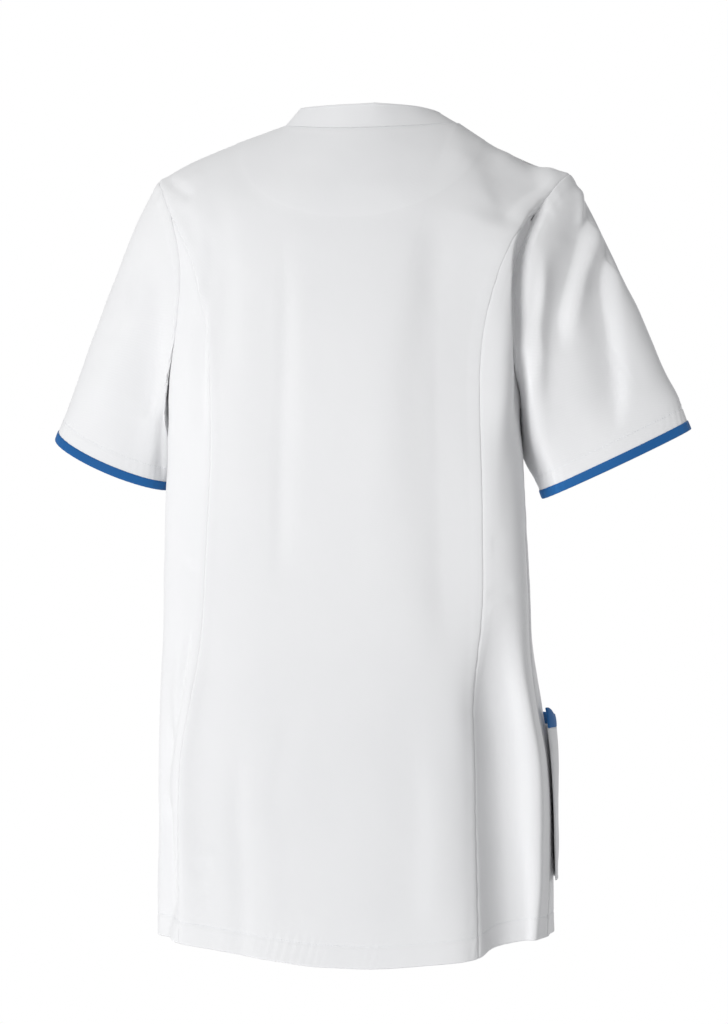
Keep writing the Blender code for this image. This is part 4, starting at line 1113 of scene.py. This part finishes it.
def hem_relief(cloth, seed, at=HEM_STITCH, lift=0.00022):
    run = cloth.first
    near_seam = np.ones_like(run) if cloth.ring else ease(np.minimum(cloth.first, cloth.last) / 0.006)
    window = ease((0.030 - cloth.bottom) / 0.010) * ease((cloth.bottom + 0.004) / 0.006)
    ripple = pucker(run + cloth.bottom * 0.25, 0.0072, seed) * window * near_seam * lift
    return ripple + stitched(cloth.bottom, at) + 0.0002 * ease((at - cloth.bottom) / 0.004)


def unevenness(points):
    return 0.00045 * uneven(points, 0.050, 1) + 0.00022 * uneven(points, 0.017, 2)


for cloth in main_cloths:
    cloth.raised += crease_height(cloth.grid, cloth.normals) + unevenness(cloth.plain)
for seed, cloth in enumerate([back_centre, front]):
    whole = seam(np.minimum(cloth.first, cloth.last), SEAM_PRESSED)
    shoulder = seam(cloth.top, SEAM_PRESSED)
    neck = seam(cloth.top, 0.0003) + stitched(cloth.top, NECK_STITCH, 0.0003)
    neck += 0.00035 * pucker(cloth.first, 0.009, 5 + seed) * ease((0.016 - cloth.top) / 0.014)
    upper = shoulder.copy()
    upper[:, NECK_PART] = neck[:, NECK_PART]
    cloth.raised += whole + upper + hem_relief(cloth, 1.0 + seed)
    cloth.raised += 0.0003 * pucker(cloth.top, 0.021, 3.1 + seed) * ease((0.014 - cloth.first) / 0.012)
    cloth.raised += 0.0003 * pucker(cloth.top, 0.019, 4.4 + seed) * ease((0.014 - cloth.last) / 0.012)
for side, cloth in sides.items():
    cloth.raised += seam(np.minimum(cloth.first, cloth.last), 0.0002) + seam(cloth.top, 0.0002)
    cloth.raised += hem_relief(cloth, 3.0 + side)
for side, cloth in sleeves.items():
    cloth.raised += seam(cloth.top, 0.0005) + hem_relief(cloth, 6.0 + side, CUFF_STITCH, 0.00038)
    cloth.raised += 0.0005 * pucker(cloth.first, 0.017, 7 + side) * ease((0.022 - cloth.top) / 0.018)

past = (facing_oval(back_centre.plain) - 1) * FACING_SIZE
arc = FACING_LIFT * (1 - ease((past + 0.0012) / 0.0024)) + 0.0003 * np.exp(-((past / 0.0016) ** 2))
back_centre.raised += np.where(back_centre.plain[..., 2] < FACING_TOP_Z + 0.004, arc, FACING_LIFT)

shared = join_borders(main_cloths)
for cloth in main_cloths:
    cloth.settle()
for places in shared:
    spot = sum(cloth.grid[j, i] for cloth, j, i in places) / len(places)
    for cloth, j, i in places:
        cloth.grid[j, i] = spot
for cloth in main_cloths:
    cloth.normals = grid_normals(cloth.grid, cloth.ring) * cloth.turn
for places in shared:
    normals = [cloth.normals[j, i] for cloth, j, i in places]
    mean = unit(sum(normals))
    if min(mean @ n for n in normals) > 0.45:
        for cloth, j, i in places:
            cloth.normals[j, i] = mean


def wall_of(cloth, hem=None):
    wall = np.full(cloth.grid.shape[:2], CLOTH)
    if hem:
        wall = mix(HEM_CLOTH, CLOTH, ease((cloth.bottom - hem) / 0.0015))
    return wall


def placed(piece, node):
    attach(piece, "root")
    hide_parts(node)
    return piece


def shown(cloth, look, hem=None, rounded=()):
    points, faces, uv = shell(cloth, wall_of(cloth, hem), rounded)
    return placed(build(cloth.name + "_cloth", points, faces, look, uv), cloth.name)


panels = [back_centre, front, sides[1], sides[-1], sleeves[1], sleeves[-1], collar]
for cloth in panels:
    hem = None if cloth is collar else CUFF_STITCH if cloth.ring else HEM_STITCH
    look = white_back_painted_shade if cloth is back_centre else white
    shown(cloth, look, hem, ("bottom",))


def line_at(cloth, edge, distance, part=slice(None)):
    """Points and normals along a piece at a distance from one of its edges."""
    run, grid, normals = getattr(cloth, edge), cloth.grid, cloth.normals
    if edge in ("first", "last"):
        run, grid, normals = run.T, grid.swapaxes(0, 1), normals.swapaxes(0, 1)
    order = slice(None, None, -1 if edge in ("bottom", "last") else 1)
    lines = [(run[order, i], grid[order, i], normals[order, i]) for i in range(run.shape[1])[part]]
    found = np.array([between(distance, keys, points) for keys, points, _ in lines])
    return found, unit(np.array([between(distance, keys, out) for keys, _, out in lines]))


def stitches(lines, closed=False):
    """Short rounded stitches laid one after another along lines of points."""
    points, faces = [], []
    for path, normals in lines:
        if closed:
            path, normals = np.append(path, path[:1], axis=0), np.append(normals, normals[:1], axis=0)
        run = lengths_of(path)
        count = int(run[-1] / STITCH)
        if count < 1:
            continue
        step = run[-1] / count
        for n in range(count):
            at = (n + 0.5) * step + np.array((-0.5, -0.32, 0.0, 0.32, 0.5)) * (step - STITCH_GAP)
            spine = between(at, run, path)
            out = unit(between(at[2], run, normals))
            way = unit(spine[-1] - spine[0])
            aside = unit(np.cross(way, out))
            start = len(points)
            for spot, fat in zip(spine, (0.25, 0.85, 1.0, 0.85, 0.25)):
                for turn in range(6):
                    c, s = math.cos(math.pi * turn / 3), math.sin(math.pi * turn / 3)
                    points.append(spot + (aside * c + out * s) * THREAD * fat + out * THREAD * (0.5 * fat))
            for ring in range(4):
                for turn in range(6):
                    a, b = start + ring * 6 + turn, start + ring * 6 + (turn + 1) % 6
                    faces.append((a, b, b + 6, a + 6))
            for ring, turned in ((0, 1), (4, -1)):
                a = start + ring * 6
                faces.append((a + 5, a + 4, a + 1, a)[::turned])
                faces.append((a + 4, a + 3, a + 2, a + 1)[::turned])
    return np.array(points), np.array(faces)


def sewn(cloth, lines):
    points, faces = stitches(lines, cloth.ring)
    uv = np.stack([points[:, 0], points[:, 2]], axis=-1)
    piece = build(cloth.name + "_stitching", points, faces, thread, uv)
    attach(piece, "root")
    return piece


for cloth in panels:
    at = COLLAR_STITCH if cloth is collar else CUFF_STITCH if cloth.ring else HEM_STITCH
    lines = [line_at(cloth, "bottom", at)]
    if cloth in (back_centre, front):
        lines.append(line_at(cloth, "top", NECK_STITCH, NECK_PART))
    sewn(cloth, lines)


def binding(cloth):
    """A folded strip over a sleeve's edge, carried round the sleeve's own points."""
    over, back, high = BINDING_CLOTH, -HEM_CLOTH, -BINDING_HEIGHT
    outside = [(over * 0.35, high), (over * 0.9, high * 0.97), (over * 1.15, high * 0.75)]
    outside += [(over * 1.1, high * 0.5), (over * 1.15, high * 0.25)]
    under = [(over * 1.1, 0.0), (over * 0.75, over * 0.75), (-0.0003, over * 1.05)]
    behind = [(back + 0.0003, over * 1.05), (back - over * 0.75, over * 0.7), (back - over, 0.0)]
    inside = [(back - over, high * share) for share in (0.3, 0.6, 0.97)]
    close = [(back - 0.0002, high), (back - 0.0002, 0.0001), (0.0002, 0.0001), (0.0002, high)]
    section = outside + under + behind + inside + close
    size, count = len(section), cloth.grid.shape[1]
    down = unit(cloth.grid[-1] - cloth.grid[-3])
    rings = []
    for out, low in section:
        if low < 0:
            spot, normal = line_at(cloth, "bottom", -low)
        else:
            spot, normal = cloth.grid[-1] + down * low, cloth.normals[-1]
        ripple = 0.00012 * pucker(cloth.first[-1], 0.006, 2.0)[:, None] if out > 0.0003 else 0
        rings.append(spot + normal * (out + ripple))
    points = np.array(rings).reshape(-1, 3)
    n, i = np.meshgrid(np.arange(size), np.arange(count), indexing="ij")
    m, k = (n + 1) % size, (i + 1) % count
    faces = np.stack([n * count + i, n * count + k, m * count + k, m * count + i], axis=-1).reshape(-1, 4)
    if cloth.turn < 0:
        faces = faces[:, ::-1]
    run = np.tile(cloth.first[-1], size)
    rise = np.repeat(np.arange(size) * 0.0012, count)
    return points, faces, np.stack([run, rise], axis=-1)


for cloth in (sleeves[1], sleeves[-1]):
    node = cloth.name.replace("sleeve", "sleeve_binding")
    points, faces, uv = binding(cloth)
    placed(build(node + "_cloth", points, faces, blue, uv), node)


def facing_grid():
    """The facing inside the back neck: the panel's own columns down to the arc, just inside the cloth."""
    columns = []
    for i in range(back_centre.grid.shape[1]):
        column, normals = back_centre.grid[:, i], back_centre.normals[:, i]
        inside = facing_oval(column)
        inside = np.where(column[:, 2] > FACING_TOP_Z, np.abs(column[:, 0] - FACING_X) / FACING_HALF, inside)
        if inside[3] >= 0.97:
            continue
        end = np.argmax(inside > 1)
        last = end - 1 + (1 - inside[end - 1]) / (inside[end] - inside[end - 1])
        at = np.linspace(2.0, last, FACING_ROWS)
        index = np.arange(len(column))
        columns.append(between(at, index, column) - unit(between(at, index, normals)) * FACING_DEPTH)
    return np.array(columns).transpose(1, 0, 2)


facing = Cloth("back_neck_facing", facing_grid(), outward=panel_out)
shown(facing, white, None, ("bottom",))

for side, word in ((1, "left"), (-1, "right")):
    low = pocket_grid(side, lambda a: POCKET_LOW_Z + 0 * a, band_z, 60, 70, 0.0012)
    pocket = Cloth("pocket_" + word, low, outward=panel_out)
    high = pocket_grid(side, lambda a: band_z(a) + 0.0001, rim_z, 8, 70, 0.0014)
    band = Cloth("pocket_band_" + word, high, outward=panel_out)
    for cloth in (pocket, band):
        cloth.raised += unevenness(cloth.grid)
    for run in (pocket.first, pocket.last, pocket.top):
        pocket.raised += stitched(run, POCKET_STITCH, 0.0003)
    pocket.raised += 0.0004 * pucker(pocket.first, 0.011, 8 + side) * ease((0.014 - pocket.top) / 0.012)
    band.raised += 0.0003 * np.sin(np.pi * np.clip(band.top / band.top[-1:], 0, 1))
    for cloth in (pocket, band):
        cloth.settle()
        cloth.normals = grid_normals(cloth.grid, False) * cloth.turn
    shown(pocket, white)
    shown(band, blue, None, ("top", "bottom"))
    seams = [line_at(pocket, edge, POCKET_STITCH) for edge in ("first", "last", "top")]
    sewn(pocket, seams)


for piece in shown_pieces():
    if "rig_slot" not in piece:
        word = "tunic_blue" if piece.data.materials and piece.data.materials[0] == blue else "tunic_white"
        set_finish(piece, word)

# The studio: a pale floor far below, a white surround, a soft light from the view's left behind the wearer's
# place, and weaker ones from the right and the front
FLOOR_Z, FLOOR_HALF = -1.45, 2.2
floor_mesh = bpy.data.meshes.new("studio_floor")
corners = [(FLOOR_HALF * x, FLOOR_HALF * y, FLOOR_Z) for x, y in ((-1, -1), (1, -1), (1, 1), (-1, 1))]
floor_mesh.from_pydata(corners, [], [(0, 1, 2, 3)])
floor_look = bpy.data.materials.new("studio_floor")
floor_look.use_nodes = True
floor_look.node_tree.nodes["Principled BSDF"].inputs["Base Color"].default_value = (0.86, 0.86, 0.87, 1)
floor_look.node_tree.nodes["Principled BSDF"].inputs["Roughness"].default_value = 0.9
floor_mesh.materials.append(floor_look)
floor = bpy.data.objects.new("studio_floor", floor_mesh)
bpy.context.scene.collection.objects.link(floor)

world = bpy.data.worlds.new("studio_surround")
world.use_nodes = True
bpy.context.scene.world = world
surround = world.node_tree
sky = surround.nodes["Background"]
sky.inputs["Color"].default_value = (0.985, 0.99, 1.0, 1)
sky.inputs["Strength"].default_value = 0.29
seen = surround.nodes.new("ShaderNodeBackground")
seen.inputs["Color"].default_value = (1, 1, 1, 1)
seen.inputs["Strength"].default_value = 1.0
path = surround.nodes.new("ShaderNodeLightPath")
chooser = surround.nodes.new("ShaderNodeMixShader")
surround.links.new(path.outputs["Is Camera Ray"], chooser.inputs["Fac"])
surround.links.new(sky.outputs["Background"], chooser.inputs[1])
surround.links.new(seen.outputs["Background"], chooser.inputs[2])
surround.links.new(chooser.outputs["Shader"], surround.nodes["World Output"].inputs["Surface"])


def softbox(name, place, target, size, power):
    data = bpy.data.lights.new(name, "AREA")
    data.shape = "RECTANGLE"
    data.size, data.size_y = size
    data.energy = power
    lamp = bpy.data.objects.new(name, data)
    lamp.location = place
    aim = Vector(target) - Vector(place)
    lamp.rotation_euler = aim.to_track_quat("-Z", "Y").to_euler()
    bpy.context.scene.collection.objects.link(lamp)


softbox("key_light", (1.32, 3.28, -0.30), (0, 0, -0.38), (1.1, 1.4), 83.0)
softbox("right_light", (-3.2, -0.5, -0.30), (0, 0, -0.38), (1.6, 1.8), 20.0)
softbox("front_light", (-1.2, -3.0, 1.2), (0, 0, -0.35), (2.0, 2.0), 45.0)

turn = math.radians(VIEW_AZIMUTH)
back_way = Vector((math.sin(turn), -math.cos(turn), 0.0))
side_way = Vector((math.cos(turn), math.sin(turn), 0.0))
camera_data = bpy.data.cameras.new("camera")
camera_data.sensor_width = 36.0
camera_data.sensor_fit = "AUTO"
camera_data.lens = 36.0 * VIEW_DISTANCE / VIEW_HEIGHT
camera = bpy.data.objects.new("camera", camera_data)
camera.location = back_way * VIEW_DISTANCE + side_way * VIEW_SHIFT + Vector((0, 0, VIEW_Z))
camera.rotation_euler = (math.radians(90), 0.0, turn)
bpy.context.scene.collection.objects.link(camera)
bpy.context.scene.camera = camera
bpy.context.scene.view_settings.view_transform = "Standard"
